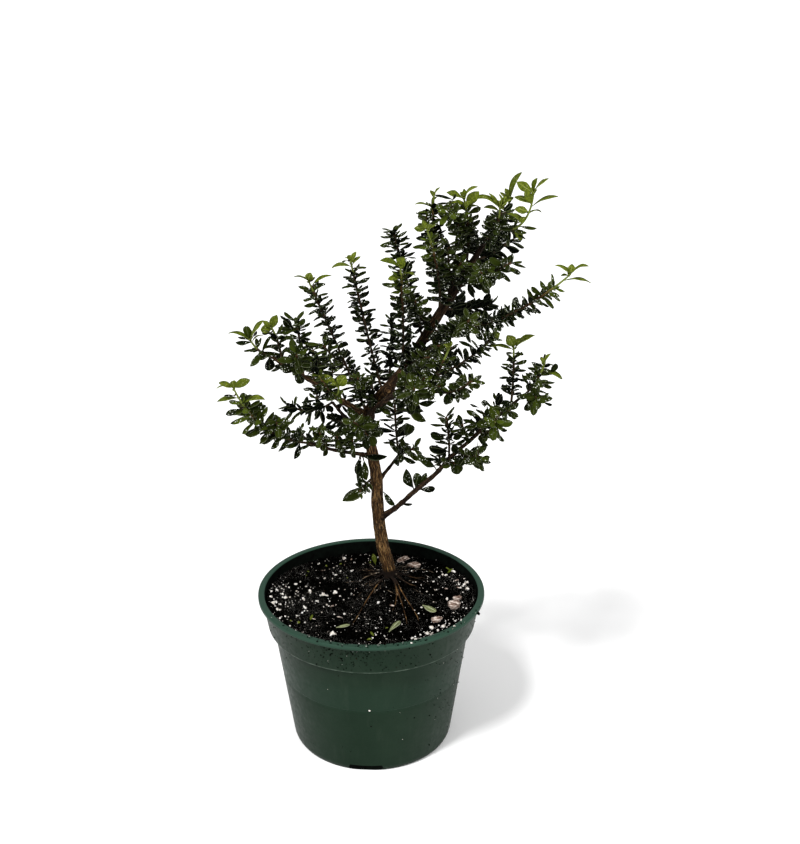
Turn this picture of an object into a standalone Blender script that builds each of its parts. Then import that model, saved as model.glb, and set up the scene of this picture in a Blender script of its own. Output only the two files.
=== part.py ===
"""A young Bahama berry bonsai (Nashia inaguensis) in its round nursery pot.

One leaning trunk with surface roots carries a few bare limbs. Every leafy shoot is a spray of its own:
a thin stem with small oval leaves fused to it, and on most of them a paler tuft of new growth.
Origin: middle of the pot's underside. +Z is up, and the picture side of the plant faces -Y.
"""

import math
import random

import bmesh
import bpy
from mathutils import Matrix, Vector
from mathutils.bvhtree import BVHTree

MM = 0.001
GAP = 0.3  # clearance between pieces that touch, mm

# Driving dimensions of the pot, mm
RIM_RADIUS = 82.5
POT_HEIGHT = 117.0
LIP_HEIGHT = 3.0
BAND_TOP_RADIUS = 79.5
BAND_BOTTOM_RADIUS = 75.8
BAND_BOTTOM_Z = 92.5
BODY_TOP_RADIUS = 72.0
BODY_FOOT_RADIUS = 59.2
BASE_RADIUS = 57.5
FOOT_BEVEL = 3.0
WALL = 1.5
FLOOR_RISE = 5.5
CENTRE_PAD_RADIUS = 20.0
FOOT_RING_WIDTH = 5.0
POT_STEPS = 40
DRAIN_HOLES = 6
DRAIN_HOLE_RADIUS = 5.0
DRAIN_CIRCLE_RADIUS = 38.0
NOTCHES = 4
NOTCH_WIDTH = 25.0
NOTCH_HEIGHT = 5.2
FIRST_NOTCH_DEG = -93.5

# Driving dimensions of the soil, mm
SOIL_EDGE_Z = 107.5
MOUND_HEIGHT = 7.0
MOUND_SPREAD = 26.0
SOIL_RIPPLE = 0.8
SOIL_BANK = 7.0
BANK_START = 40.0

# Driving dimensions of the plant, mm
LEAF_LENGTH = 12.4
LEAF_WIDTH_SHARE = 0.45
LEAF_THICKNESS = 0.8
YOUNG_LEAF_LENGTH = 15.0
YOUNG_WIDTH_SHARE = 0.42
PAIR_SPACING = 9.4
PAIR_TURN_DEG = 99.0
STEM_RADIUS = 0.85
TWIG_RADIUS = 0.7
YOUNG_STEM_LENGTH = 8.5
LIMB_END_RADIUS = 1.1
BARE_STEM = 5.0  # leafless start of each stem

# Pairs of a young tuft: distance below the stem's tip, spread in degrees and size of the leaves
YOUNG_PAIRS = [(0.6, 46, 0.92), (4.9, 62, 1.0), (9.4, 70, 0.9), (14.4, 72, 0.85), (19.9, 74, 0.8),
               (25.4, 74, 0.8)]
TALL_LEAF_SHARE = 0.27  # width to length of the crown's one long, slim leaf

TRUNK_BASE = (12.5, 25.0)

# Points on the trunk's centreline, from its buried foot to the last fork, and its radius there
TRUNK = [
    ((13, 25, 72), 3.0), ((13, 25, 100), 5.1), ((13, 25, 117), 4.9), ((8, 24, 140), 4.8),
    ((4.7, 22, 170), 4.6), ((4, 20, 194), 4.4), ((1, 18, 217), 4.1), ((-3, 17, 238), 3.8),
    ((0, 15, 252), 3.8), ((8, 13.5, 263), 3.7), ((17, 12, 273), 3.9), ((27, 10, 286), 3.8),
    ((35, 8, 301), 3.6), ((44, 7, 317), 3.4), ((52, 6, 330), 3.2), ((62, 5, 347), 2.7),
    ((70, 4, 361), 2.2), ((76, 3, 371), 1.8), ((83, 2, 381), 1.3),
]  # fmt: skip

# Each limb's centreline and its radius where it leaves the trunk
LIMBS = {
    "left_middle": (2.5, [(-2, 16, 244), (-8, 14, 250), (-19, 6, 260), (-30, -2, 271), (-41, -8, 281),
                          (-53, -13, 290), (-63, -17, 299)]),
    "left_low": (1.6, [(1, 18, 213), (-6, 14, 217), (-16, 8, 221), (-28, -3, 228), (-42, -14, 237)]),
    "left_back": (2.2, [(-1, 18, 224), (-7, 22, 230), (-13, 26, 235), (-21, 33, 241), (-28, 38, 248)]),
    "right_low": (2.1, [(6, 22, 163), (12, 18, 169), (20, 14, 177), (32, 7, 192), (46, 0, 208),
                        (57, -6, 224), (72, -12, 241), (79, -15, 251), (89, -19, 260), (100, -23, 272)]),
    "right_back_low": (1.5, [(4, 20, 190), (8, 26, 195), (14, 33, 200), (20, 40, 206)]),
    "front": (2.2, [(-3, 17, 240), (1, 10, 251), (8, 2, 260), (16, -10, 269), (29, -23, 276),
                    (45, -36, 282)]),
    "right_middle": (1.8, [(3, 14.5, 256), (12, 19, 260), (28, 27, 264), (48, 36, 269)]),
    "right_high": (1.6, [(35, 8, 301), (40, 3, 306), (48, -2, 311), (58, -9, 316)]),
}  # fmt: skip

# Each spray leaves its limb near "base", passes "via" half way and ends at "tip". Its side twigs start
# at a share of its length. "young" is the size of its pale tuft, "tall" the tip of its long leaf, and
# "leaf" the size of its dark leaves.
SPRAYS = {
    "low_left": dict(limb="left_low", base=(-42, -14, 237), via=(-69, -32, 255), tip=(-87, -45, 288),
                     young=1.0, young_length=14.0),
    "left_end": dict(limb="left_middle", base=(-63, -17, 299), via=(-72, -20, 305), tip=(-78, -22, 314),
                     young=1.0),
    "left_first": dict(limb="left_middle", base=(-57, -15, 294), via=(-61, -10, 309),
                       tip=(-66, -9, 320), young=0.9),
    "left_second": dict(limb="left_middle", base=(-44, -10, 284), via=(-46, 2, 298), tip=(-50, 6, 318)),
    "left_front": dict(limb="left_middle", base=(-49, -12, 288), via=(-48, -25, 295),
                       tip=(-46, -37, 308)),
    "left_inner": dict(limb="left_middle", base=(-27, 0, 268), via=(-22, -11, 271), tip=(-20, -22, 281),
                       young=1.0, young_length=14.0, leaf=0.6, twigs=[(0.3, (-33, -26, 290))]),
    "left_back": dict(limb="left_back", base=(-28, 38, 248), via=(-44, 45, 239), tip=(-62, 50, 241),
                      twigs=[(0.25, (-37, 54, 272))]),
    "tall_left": dict(limb="trunk", base=(-2, 16, 246), via=(-20, 28, 286), tip=(-42, 26, 341),
                      young=0.9, leaf=0.85),
    "tall_middle": dict(limb="trunk", base=(9, 13, 264), via=(-1, 24, 300), tip=(-13, 30, 354),
                        young=0.9, leaf=0.85),
    "tall_front": dict(limb="trunk", base=(21, 11, 279), via=(23, -5, 315), tip=(21, -14, 362),
                       young=1.1, leaf=0.9),
    "tall_back": dict(limb="trunk", base=(37, 8, 304), via=(27, 30, 335), tip=(16, 44, 371), leaf=0.85),
    "crown_left": dict(limb="trunk", base=(47, 7, 322), via=(46, -8, 352), tip=(38, -18, 386),
                       young=0.9, leaf=0.85),
    "crown_back": dict(limb="trunk", base=(55, 6, 335), via=(45, 25, 367), tip=(44, 34, 398), young=0.9,
                       leaf=0.85),
    "crown_middle": dict(limb="trunk", base=(64, 5, 351), via=(66, 5, 378), tip=(62, -2, 403),
                         young=1.0, leaf=0.85, twigs=[(0.4, (50, -16, 399))]),
    "crown_right": dict(limb="trunk", base=(74, 3, 368), via=(82, -12, 383), tip=(84, -22, 401),
                        young=1.0, leaf=0.85),
    "crown_top": dict(limb="trunk", base=(79, 2, 376), via=(88, 13, 386), tip=(94, 17, 398), young=0.95,
                      leaf=0.85, tall=(101, 15, 417)),
    "apex": dict(limb="trunk", base=(83, 2, 381), via=(100, -2, 386), tip=(107, -4, 407), young=1.0,
                 young_length=29.0),
    "crown_front": dict(limb="trunk", base=(59, 5, 342), via=(76, -13, 354), tip=(92, -27, 366),
                        twigs=[(0.35, (72, -34, 362))]),
    "crown_outer": dict(limb="trunk", base=(69, 4, 360), via=(82, 16, 362), tip=(98, 28, 369),
                        twigs=[(0.3, (72, 56, 366))]),
    "middle_back": dict(limb="trunk", base=(50, 6, 327), via=(67, 22, 322), tip=(84, 34, 322),
                        twigs=[(0.35, (58, 62, 318))]),
    "middle_front": dict(limb="trunk", base=(42, 7, 313), via=(53, -21, 318), tip=(65, -46, 334),
                         leaf=0.85),
    "right_high": dict(limb="right_high", base=(58, -9, 316), via=(94, -27, 333), tip=(129, -36, 361),
                       young=0.95, young_length=14.0, leaf=0.92),
    "right_middle": dict(limb="right_middle", base=(48, 36, 269), via=(69, 45, 278), tip=(89, 53, 292),
                         young=0.8, twigs=[(0.2, (48, 70, 282))]),
    "front_end": dict(limb="front", base=(45, -36, 282), via=(56, -46, 286), tip=(67, -54, 296),
                      leaf=0.85),
    "front_first": dict(limb="front", base=(38, -31, 279), via=(46, -31, 294), tip=(53, -30, 310),
                        young=0.7),
    "front_inner": dict(limb="front", base=(22, -17, 273), via=(28, -36, 278), tip=(30, -54, 291)),
    "right_low_end": dict(limb="right_low", base=(100, -23, 272), via=(110, -26, 284),
                          tip=(116, -28, 300), young=0.7, twigs=[(0.15, (109, -44, 281))]),
    "right_low_upright": dict(limb="right_low", base=(95, -21, 267), via=(97, -14, 284),
                              tip=(97, -9, 305), young=1.1, leaf=0.85),
    "right_low_first": dict(limb="right_low", base=(55, -5, 221), via=(55, 0, 235), tip=(53, 5, 249),
                            leaf=1.0),
    "right_low_back": dict(limb="right_low", base=(70, -11, 239), via=(80, 4, 245), tip=(90, 16, 255),
                           leaf=1.0),
    "right_low_front": dict(limb="right_low", base=(84, -17, 255), via=(83, -31, 257),
                            tip=(83, -45, 265), leaf=0.95),
    "right_low_under": dict(limb="right_low", base=(61, -8, 228), via=(66, -22, 231),
                            tip=(73, -36, 237), leaf=0.95),
    "low_back": dict(limb="right_back_low", base=(20, 40, 206), via=(18, 54, 220), tip=(17, 64, 240),
                     leaf=1.1),
    "inner_back": dict(limb="trunk", base=(13, 12.5, 269), via=(14, 42, 278), tip=(15, 70, 300),
                       leaf=0.8),
    "inner_front": dict(limb="trunk", base=(-2, 17, 234), via=(-5, -3, 242), tip=(-10, -22, 256),
                        leaf=1.15),
    "trunk_twig": dict(limb="trunk", base=(3, 19, 199), via=(-3, 13, 195), tip=(-8, 7, 191), leaf=0.6),
}  # fmt: skip

# Surface roots: where each one ends on the soil, as an angle round the trunk and a length
ROOTS = [(249, 74), (272, 46), (282, 66), (291, 64), (172, 22), (7, 30), (335, 26), (215, 24), (50, 28),
         (95, 30), (135, 30)]
ROOT_RADIUS = 1.2
ROOT_END_RADIUS = 0.6
ROOT_DIVE = 9.0

# Leaves that lie on the soil: middle, heading in degrees and length
FALLEN_LEAVES = {
    "fallen_leaf_left": ((-19, -42), 8, 10),
    "fallen_leaf_front": ((17, -42), 62, 16),
    "fallen_leaf_right": ((42, -17), -50, 14.5),
}

PAINT = {
    "pot": ((0.026, 0.105, 0.078), 0.45),
    "soil": ((0.018, 0.013, 0.010), 0.95),
    "bark": ((0.135, 0.075, 0.038), 0.85),
    "leaf": ((0.020, 0.060, 0.014), 0.35),
    "young leaf": ((0.155, 0.300, 0.035), 0.45),
    "dry leaf": ((0.260, 0.290, 0.110), 0.60),
}


def clear_scene():
    for obj in list(bpy.data.objects):
        bpy.data.objects.remove(obj, do_unlink=True)


def new_collection(name):
    collection = bpy.data.collections.new(name)
    bpy.context.scene.collection.children.link(collection)
    return collection


def paint(name):
    """The Principled material of that name, made the first time it is asked for."""
    found = bpy.data.materials.get(name)
    if found:
        return found
    colour, roughness = PAINT[name]
    material = bpy.data.materials.new(name)
    material.use_nodes = True
    shader = material.node_tree.nodes["Principled BSDF"]
    shader.inputs["Base Color"].default_value = (*colour, 1.0)
    shader.inputs["Roughness"].default_value = roughness
    shader.inputs["Metallic"].default_value = 0.0
    return material


def mesh_object(name, mesh, collection):
    obj = bpy.data.objects.new(name, mesh)
    collection.objects.link(obj)
    return obj


def mesh_from(name, points, faces):
    """A mesh from points in millimetres."""
    mesh = bpy.data.meshes.new(name)
    mesh.from_pydata([Vector(p) * MM for p in points], [], faces)
    mesh.update()
    return mesh


def baked(obj):
    """obj with its modifiers applied."""
    evaluated = obj.evaluated_get(bpy.context.evaluated_depsgraph_get())
    mesh = bpy.data.meshes.new_from_object(evaluated)
    obj.modifiers.clear()
    obj.data = mesh
    return obj


def boolean(obj, operation, tools):
    """Cuts obj by, or joins it to, every object of the collection tools, and removes those."""
    change = obj.modifiers.new(operation.lower(), "BOOLEAN")
    change.operation = operation
    change.operand_type = "COLLECTION"
    change.collection = tools
    change.solver = "EXACT"
    baked(obj)
    for tool in list(tools.objects):
        bpy.data.objects.remove(tool, do_unlink=True)
    bpy.data.collections.remove(tools)


def finished(obj, material, smooth_deg=None):
    """Gives obj its one material, and smooth shading up to that angle."""
    obj.data.materials.clear()
    obj.data.materials.append(paint(material))
    if smooth_deg:
        obj.data.shade_smooth()
        obj.data.set_sharp_from_angle(angle=math.radians(smooth_deg))
    return obj


# Curves that stems, limbs and roots follow


def smooth_route(points, step):
    """Points about step apart on a Catmull-Rom curve through the given points."""
    knots = [Vector(p) for p in points]
    knots = [knots[0] * 2 - knots[1], *knots, knots[-1] * 2 - knots[-2]]
    route = []
    for a, b, c, d in zip(knots, knots[1:], knots[2:], knots[3:]):
        count = max(1, round((c - b).length / step))
        for i in range(count):
            t = i / count
            route.append(0.5 * (2 * b + (c - a) * t + (2 * a - 5 * b + 4 * c - d) * t**2
                                + (3 * b - a - 3 * c + d) * t**3))  # fmt: skip
    return [*route, knots[-2]]


def arc_through(start, via, end, step):
    """Points about step apart on the quadratic curve that passes via half way."""
    control = 2 * via - (start + end) / 2
    count = max(4, round((end - start).length / step))
    shares = [i / count for i in range(count + 1)]
    return [start * (1 - t) ** 2 + control * (2 * t * (1 - t)) + end * t**2 for t in shares]


def route_length(route):
    return sum((b - a).length for a, b in zip(route, route[1:]))


def point_at(route, distance):
    """The point at that distance along a route, and the route's direction there."""
    for a, b in zip(route, route[1:]):
        step = (b - a).length
        if distance <= step or b is route[-1]:
            return a.lerp(b, distance / step), (b - a).normalized()
        distance -= step


def part_of(route, begin, end):
    """The stretch of a route between two distances along it."""
    kept, walked = [point_at(route, begin)[0]], 0.0
    for a, b in zip(route, route[1:]):
        walked += (b - a).length
        if begin + 1.0 < walked < end - 1.0:
            kept.append(b)
    return [*kept, point_at(route, end)[0]]


def nearest_on(route, point):
    """The distance along a route of the place nearest to a point."""
    best, walked = (math.inf, 0.0), 0.0
    for a, b in zip(route, route[1:]):
        step = b - a
        share = min(1.0, max(0.0, (point - a).dot(step) / step.length_squared))
        best = min(best, ((a + step * share - point).length, walked + share * step.length))
        walked += step.length
    return best[1]


def tube(name, route, radii, sides_level, collection):
    """A capped, tapered, closed tube along a route. sides_level 0, 1, 2 gives 4, 6, 8 sides."""
    curve = bpy.data.curves.new(name, "CURVE")
    curve.dimensions = "3D"
    curve.bevel_depth = MM
    curve.bevel_resolution = sides_level
    curve.use_fill_caps = True
    spline = curve.splines.new("POLY")
    spline.points.add(len(route) - 1)
    for place, centre, radius in zip(spline.points, route, radii):
        place.co = (*(centre * MM), 1.0)
        place.radius = radius
    guide = bpy.data.objects.new(name, curve)
    bpy.context.scene.collection.objects.link(guide)
    bpy.context.view_layer.update()
    mesh = bpy.data.meshes.new_from_object(guide.evaluated_get(bpy.context.evaluated_depsgraph_get()))
    bpy.data.objects.remove(guide, do_unlink=True)
    work = bmesh.new()
    work.from_mesh(mesh)
    bmesh.ops.remove_doubles(work, verts=work.verts, dist=1e-6)
    bmesh.ops.recalc_face_normals(work, faces=work.faces)
    work.to_mesh(mesh)
    work.free()
    return mesh_object(name, mesh, collection)


def tapered(count, first, last):
    return [first + (last - first) * i / (count - 1) for i in range(count)]


# The pot


def lathe(name, profile, collection, steps=POT_STEPS):
    """Turns a closed profile of (radius, height) points round Z. It runs down its outer side."""
    mesh = mesh_from(name, [(r, 0, z) for r, z in profile], [])
    mesh.clear_geometry()
    work = bmesh.new()
    ring = [work.verts.new((r * MM, 0, z * MM)) for r, z in profile]
    for a, b in zip(ring, ring[1:]):
        work.edges.new((a, b))
    work.to_mesh(mesh)
    work.free()
    obj = mesh_object(name, mesh, collection)
    turn = obj.modifiers.new("turn", "SCREW")
    turn.steps = turn.render_steps = steps
    turn.use_merge_vertices = True
    turn.merge_threshold = 0.00001
    return baked(obj)


def body_radius(z):
    """The pot's outer radius at a height, below its band."""
    share = (z - FOOT_BEVEL) / (BAND_BOTTOM_Z - FOOT_BEVEL)
    return BODY_FOOT_RADIUS + (BODY_TOP_RADIUS - BODY_FOOT_RADIUS) * share


def inside_profile(clearance):
    """The pot's inner wall from the floor to the rim, moved inwards by a clearance."""
    floor = FLOOR_RISE + WALL
    ledge = BAND_BOTTOM_Z - 1.0
    return [
        (body_radius(floor) - WALL - clearance, floor + clearance),
        (body_radius(ledge) - WALL - clearance, ledge),
        (BAND_BOTTOM_RADIUS - WALL - clearance, BAND_BOTTOM_Z + 1.0 + clearance),
        (BAND_TOP_RADIUS - WALL - clearance, POT_HEIGHT),
    ]


def make_pot(collection):
    """A thin moulded pot: flat lip, band, tapered body, raised floor with drain holes, notched foot."""
    ring_inner = BASE_RADIUS - FOOT_RING_WIDTH
    outside = [
        (RIM_RADIUS, POT_HEIGHT - 0.6),
        (RIM_RADIUS, POT_HEIGHT - LIP_HEIGHT),
        (BAND_TOP_RADIUS, POT_HEIGHT - LIP_HEIGHT - 0.4),
        (BAND_BOTTOM_RADIUS, BAND_BOTTOM_Z),
        (BODY_TOP_RADIUS, BAND_BOTTOM_Z - 0.8),
        (BODY_FOOT_RADIUS, FOOT_BEVEL),
        (BASE_RADIUS, 0),
        (ring_inner, 0),
        (ring_inner - 1.0, FLOOR_RISE),
        (CENTRE_PAD_RADIUS + 1.0, FLOOR_RISE),
        (CENTRE_PAD_RADIUS, 0),
        (0, 0),
    ]
    floor = FLOOR_RISE + WALL
    inside = [(0, WALL), (CENTRE_PAD_RADIUS - WALL, WALL), (CENTRE_PAD_RADIUS - WALL + 1.0, floor)]
    inside += inside_profile(0)
    inside += [(RIM_RADIUS - 0.8, POT_HEIGHT)]
    pot = lathe("pot", inside + outside, collection)

    cutters = new_collection("pot cutters")
    for i in range(DRAIN_HOLES):
        angle = math.tau * (i + 0.5) / DRAIN_HOLES
        bpy.ops.mesh.primitive_cylinder_add(
            vertices=12,
            radius=DRAIN_HOLE_RADIUS * MM,
            depth=4 * WALL * MM,
            location=(
                DRAIN_CIRCLE_RADIUS * math.cos(angle) * MM,
                DRAIN_CIRCLE_RADIUS * math.sin(angle) * MM,
                (FLOOR_RISE + WALL / 2) * MM,
            ),
        )
        move_to(bpy.context.object, cutters)
    for i in range(NOTCHES):
        angle = math.radians(FIRST_NOTCH_DEG) + math.tau * i / NOTCHES
        notch_cutter(angle, cutters)
    boolean(pot, "DIFFERENCE", cutters)
    return finished(pot, "pot", 35)


def notch_cutter(angle, collection):
    """A bar with slanted ends that cuts a shallow notch through the foot ring."""
    half, top = NOTCH_WIDTH / 2, NOTCH_HEIGHT
    outline = [(-half - 1.2, -1.0), (half + 1.2, -1.0), (half - 1.0, top), (-half + 1.0, top)]
    near, far = BASE_RADIUS - FOOT_RING_WIDTH - 2.5, BASE_RADIUS + 5
    points = [(r, s, z) for r in (near, far) for s, z in outline]
    faces = [(3, 2, 1, 0), (4, 5, 6, 7), (0, 1, 5, 4), (1, 2, 6, 5), (2, 3, 7, 6), (3, 0, 4, 7)]
    mesh = mesh_from("notch", points, faces)
    mesh.transform(Matrix.Rotation(angle, 4, "Z"))
    return mesh_object("notch", mesh, collection)


def move_to(obj, collection):
    for owner in list(obj.users_collection):
        owner.objects.unlink(obj)
    collection.objects.link(obj)


# The soil


def soil_height(x, y):
    """The soil's top: a mound round the trunk, a bank against the wall except at the back."""
    away = math.hypot(x - TRUNK_BASE[0], y - TRUNK_BASE[1])
    mound = MOUND_HEIGHT * math.exp(-((away / MOUND_SPREAD) ** 2))
    ripple = math.sin(0.11 * x + 1.3) * math.cos(0.09 * y - 0.4) + 0.6 * math.sin(0.23 * y + 0.17 * x)
    out = math.hypot(x, y)
    edge = max(0.0, 1 - out / BAND_TOP_RADIUS)
    share = max(0.0, out - BANK_START) / (BAND_TOP_RADIUS - BANK_START)
    bank = SOIL_BANK * share**2 * max(0.0, min(1.0, 1 - y / max(out, 1.0)))
    return SOIL_EDGE_Z + mound + bank + SOIL_RIPPLE * ripple * min(1.0, 3 * edge)


def make_soil(collection, hole_cutters):
    """The potting mix fills the pot, with holes for the trunk's foot and grooves for its roots."""
    wall = [p for p in inside_profile(GAP) if p[1] < SOIL_EDGE_Z]
    below, above = inside_profile(GAP)[-2:]
    share = (SOIL_EDGE_Z - below[1]) / (above[1] - below[1])
    top_radius = below[0] + (above[0] - below[0]) * share
    rings = [top_radius * share for share in (0.86, 0.7, 0.54, 0.36, 0.18)]
    profile = [(0, SOIL_EDGE_Z)] + [(r, SOIL_EDGE_Z) for r in reversed(rings)]
    profile += [(top_radius, SOIL_EDGE_Z)] + list(reversed(wall))
    pad = CENTRE_PAD_RADIUS - WALL
    profile += [(pad + 1.0, FLOOR_RISE + WALL + GAP), (pad - GAP, WALL + GAP), (0, WALL + GAP)]
    soil = lathe("potting_soil", profile, collection, steps=POT_STEPS)
    for v in soil.data.vertices:
        if v.co.z > (SOIL_EDGE_Z - 0.01) * MM:
            v.co.z = soil_height(v.co.x / MM, v.co.y / MM) * MM
    boolean(soil, "DIFFERENCE", hole_cutters)
    return finished(soil, "soil", 40)


def root_route(angle_deg, length):
    """A surface root: it leaves the trunk, lies on the soil, winds a little and dives at its end."""
    luck = random.Random(angle_deg)
    heading = math.radians(angle_deg)
    sway = luck.uniform(-0.12, 0.12) * length
    out = Vector((math.cos(heading), math.sin(heading), 0))
    side = Vector((-out.y, out.x, 0))
    foot = Vector((*TRUNK_BASE, 0))
    points = [Vector((*TRUNK_BASE, 113.0))]
    for share in (0.16, 0.4, 0.7, 0.9):
        place = foot + out * length * share + side * sway * math.sin(math.pi * share)
        lift = 2.6 * (1 - share) ** 2 - 0.2 - 1.0 * share
        points.append(Vector((place.x, place.y, soil_height(place.x, place.y) + lift)))
    end = foot + out * length
    points.append(Vector((end.x, end.y, SOIL_EDGE_Z - ROOT_DIVE)))
    return smooth_route(points, 11.0)


def root_radii(route, swell):
    count = len(route)
    first, last = ROOT_RADIUS + swell, ROOT_END_RADIUS + swell
    return [first + (last - first) * (i / (count - 1)) ** 0.7 for i in range(count)]


# The wood


def trunk_route(step=9.0):
    return smooth_route([p for p, _ in TRUNK], step)


def trunk_radii(route, swell=0.0):
    """The trunk's radius at each point of a route along it, read between the rows of its table."""
    knots = [Vector(p) for p, _ in TRUNK]
    marks = [route_length(knots[: i + 1]) for i in range(len(knots))]
    radii = []
    for point in route:
        mark = nearest_on(knots, point)
        k = max(i for i in range(len(marks) - 1) if marks[i] <= mark)
        share = (mark - marks[k]) / (marks[k + 1] - marks[k])
        radii.append(TRUNK[k][1] + (TRUNK[k + 1][1] - TRUNK[k][1]) * min(1.0, share) + swell)
    return radii


def limb_routes():
    """Every limb's route and radii, with the trunk's own under the name trunk."""
    route = trunk_route()
    found = {"trunk": (route, trunk_radii(route))}
    for name, (radius, points) in LIMBS.items():
        line = smooth_route(points, 11.0)
        found[name] = (line, tapered(len(line), radius, LIMB_END_RADIUS))
    return found


def spray_routes(limbs):
    """Each spray's collar on the limb, its leafy stem and its young tip: three stretches of one curve."""
    found = {}
    for name, spray in SPRAYS.items():
        limb, radii = limbs[spray["limb"]]
        mark = nearest_on(limb, Vector(spray["base"]))
        start, along = point_at(limb, mark)
        line = arc_through(start, Vector(spray["via"]), Vector(spray["tip"]), 11.0)
        lean = along.angle((line[1] - line[0]).normalized())
        terminal = mark > route_length(limb) - 1.0
        nearest = min(range(len(limb)), key=lambda i: (limb[i] - start).length)
        clear = (radii[nearest] + STEM_RADIUS + 0.8) / max(0.3, math.sin(lean))
        collar = 4.0 if terminal else max(4.0, clear)
        total = route_length(line)
        young = spray.get("young_length", YOUNG_STEM_LENGTH) if "young" in spray else 0.0
        leafy_end = total - young
        found[name] = {
            "collar": [start, point_at(line, collar)[0]],
            "leafy": part_of(line, collar + GAP, leafy_end),
            "young": part_of(line, leafy_end + GAP, total) if young else None,
        }
    return found


def make_wood(collection, limbs, sprays):
    """Trunk, limbs, roots and the short collar of every spray: one grown piece."""
    route, radii = limbs["trunk"]
    wood = tube("trunk_and_limbs", route, radii, 2, collection)
    grown = new_collection("wood")
    for name, (line, sizes) in limbs.items():
        if name != "trunk":
            tube(name, line, sizes, 1, grown)
    for angle, length in ROOTS:
        line = root_route(angle, length)
        tube("root", line, root_radii(line, 0.0), 0, grown)
    for name, parts in sprays.items():
        tube("collar " + name, parts["collar"], (STEM_RADIUS * 1.25, STEM_RADIUS * 1.05), 0, grown)
    boolean(wood, "UNION", grown)
    return finished(wood, "bark", 50)


def soil_hole_cutters():
    """Slightly wider copies of the trunk's foot and roots, which cut their places in the soil."""
    cutters = new_collection("soil cutters")
    route = trunk_route()
    foot = part_of(route, 0, 60.0)
    tube("trunk foot", foot, trunk_radii(foot, swell=GAP + 0.15), 2, cutters)
    for angle, length in ROOTS:
        line = root_route(angle, length)
        longer = [*line[:-1], line[-1] + (line[-1] - line[-2]).normalized() * (GAP + 0.1)]
        tube("groove", longer, root_radii(longer, GAP + 0.15), 0, cutters)
    return cutters


# Leaves


def leaf_shape(length, width):
    """A folded oval blade in mm: x runs from its root to its tip, z out of its upper face."""
    half = LEAF_THICKNESS / 2
    points = [
        (0, 0, half * 0.8),
        (0, 0, -half * 0.8),
        (0.30 * length, 0.40 * width, 0.05 * width),
        (0.70 * length, 0.47 * width, 0.08 * width),
        (length, 0, -0.06 * length),
        (0.70 * length, -0.47 * width, 0.08 * width),
        (0.30 * length, -0.40 * width, 0.05 * width),
        (0.52 * length, 0, half),
        (0.52 * length, 0, -half),
    ]
    rim = [2, 3, 4, 5, 6]
    faces = [(a, 7, b) for a, b in zip([0, *rim], [*rim, 0])]
    faces += [(b, 8, a) for a, b in zip([1, *rim], [*rim, 1])]
    faces += [(0, 2, 1), (1, 6, 0)]
    return points, faces


def leaf_placed(place, heading, face, length, width):
    """Points and faces of a leaf at a place, pointing along heading, its upper side towards face."""
    heading = heading.normalized()
    across = face.cross(heading).normalized()
    normal = heading.cross(across)
    points, faces = leaf_shape(length, width)
    return [place + heading * x + across * y + normal * z for x, y, z in points], faces


def stem_frame(direction):
    """Two directions square to a stem, the first one facing the picture side as little as it can."""
    steady = Vector((0, 1, 0)) if abs(direction.y) < 0.9 else Vector((0, 0, 1))
    level = steady.cross(direction).normalized()
    return level, direction.cross(level)


def leaf_heading(direction, turn, spread):
    """Where a leaf at an angle to the stem and a turn round it points, and where its face looks."""
    level, rise = stem_frame(direction)
    out = level * math.cos(turn) + rise * math.sin(turn)
    heading = direction * math.cos(spread) + out * math.sin(spread)
    face = direction * math.sin(spread) - out * math.cos(spread) + Vector((0, 0, 0.7))
    return heading, face


def dark_leaves(name, route, scale):
    """The opposite pairs along a stem, as (place, heading, face, length, width), each one turned."""
    total = route_length(route)
    first_turn = random.Random(name).uniform(-0.4, 0.4)
    for k in range(int((total - BARE_STEM) / PAIR_SPACING) + 1):
        at_end = k == 0
        for side in (0, 1):
            luck = random.Random(f"{name} {k} {side}")
            place, direction = point_at(route, total - 0.8 - k * PAIR_SPACING)
            turn = first_turn + math.radians(k * PAIR_TURN_DEG + 180 * side + luck.uniform(-14, 14))
            spread = math.radians(luck.uniform(40, 52) if at_end else luck.uniform(62, 76))
            heading, face = leaf_heading(direction, turn, spread)
            length = LEAF_LENGTH * scale * luck.uniform(0.88, 1.12)
            yield place, heading, face, length, length * LEAF_WIDTH_SHARE


def young_leaves(name, route, scale, tall):
    """The tuft of new growth: pairs that stand up more towards the tip, one leaf reaching to tall."""
    total = route_length(route)
    for k, (back, spread_deg, size) in enumerate(YOUNG_PAIRS):
        if back > total - 1.0:
            break
        for side in (0, 1):
            luck = random.Random(f"{name} young {k} {side}")
            place, direction = point_at(route, total - back)
            turn = math.radians(k * 90 + 180 * side + luck.uniform(-14, 14))
            spread = math.radians(spread_deg + luck.uniform(-8, 8))
            heading, face = leaf_heading(direction, turn, spread)
            length = YOUNG_LEAF_LENGTH * scale * size * luck.uniform(0.92, 1.05)
            width_share = YOUNG_WIDTH_SHARE
            if tall and k == 0 and side == 0:
                heading = Vector(tall) - place
                length, width_share = heading.length, TALL_LEAF_SHARE
            yield place, heading, face, length, length * width_share


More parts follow.
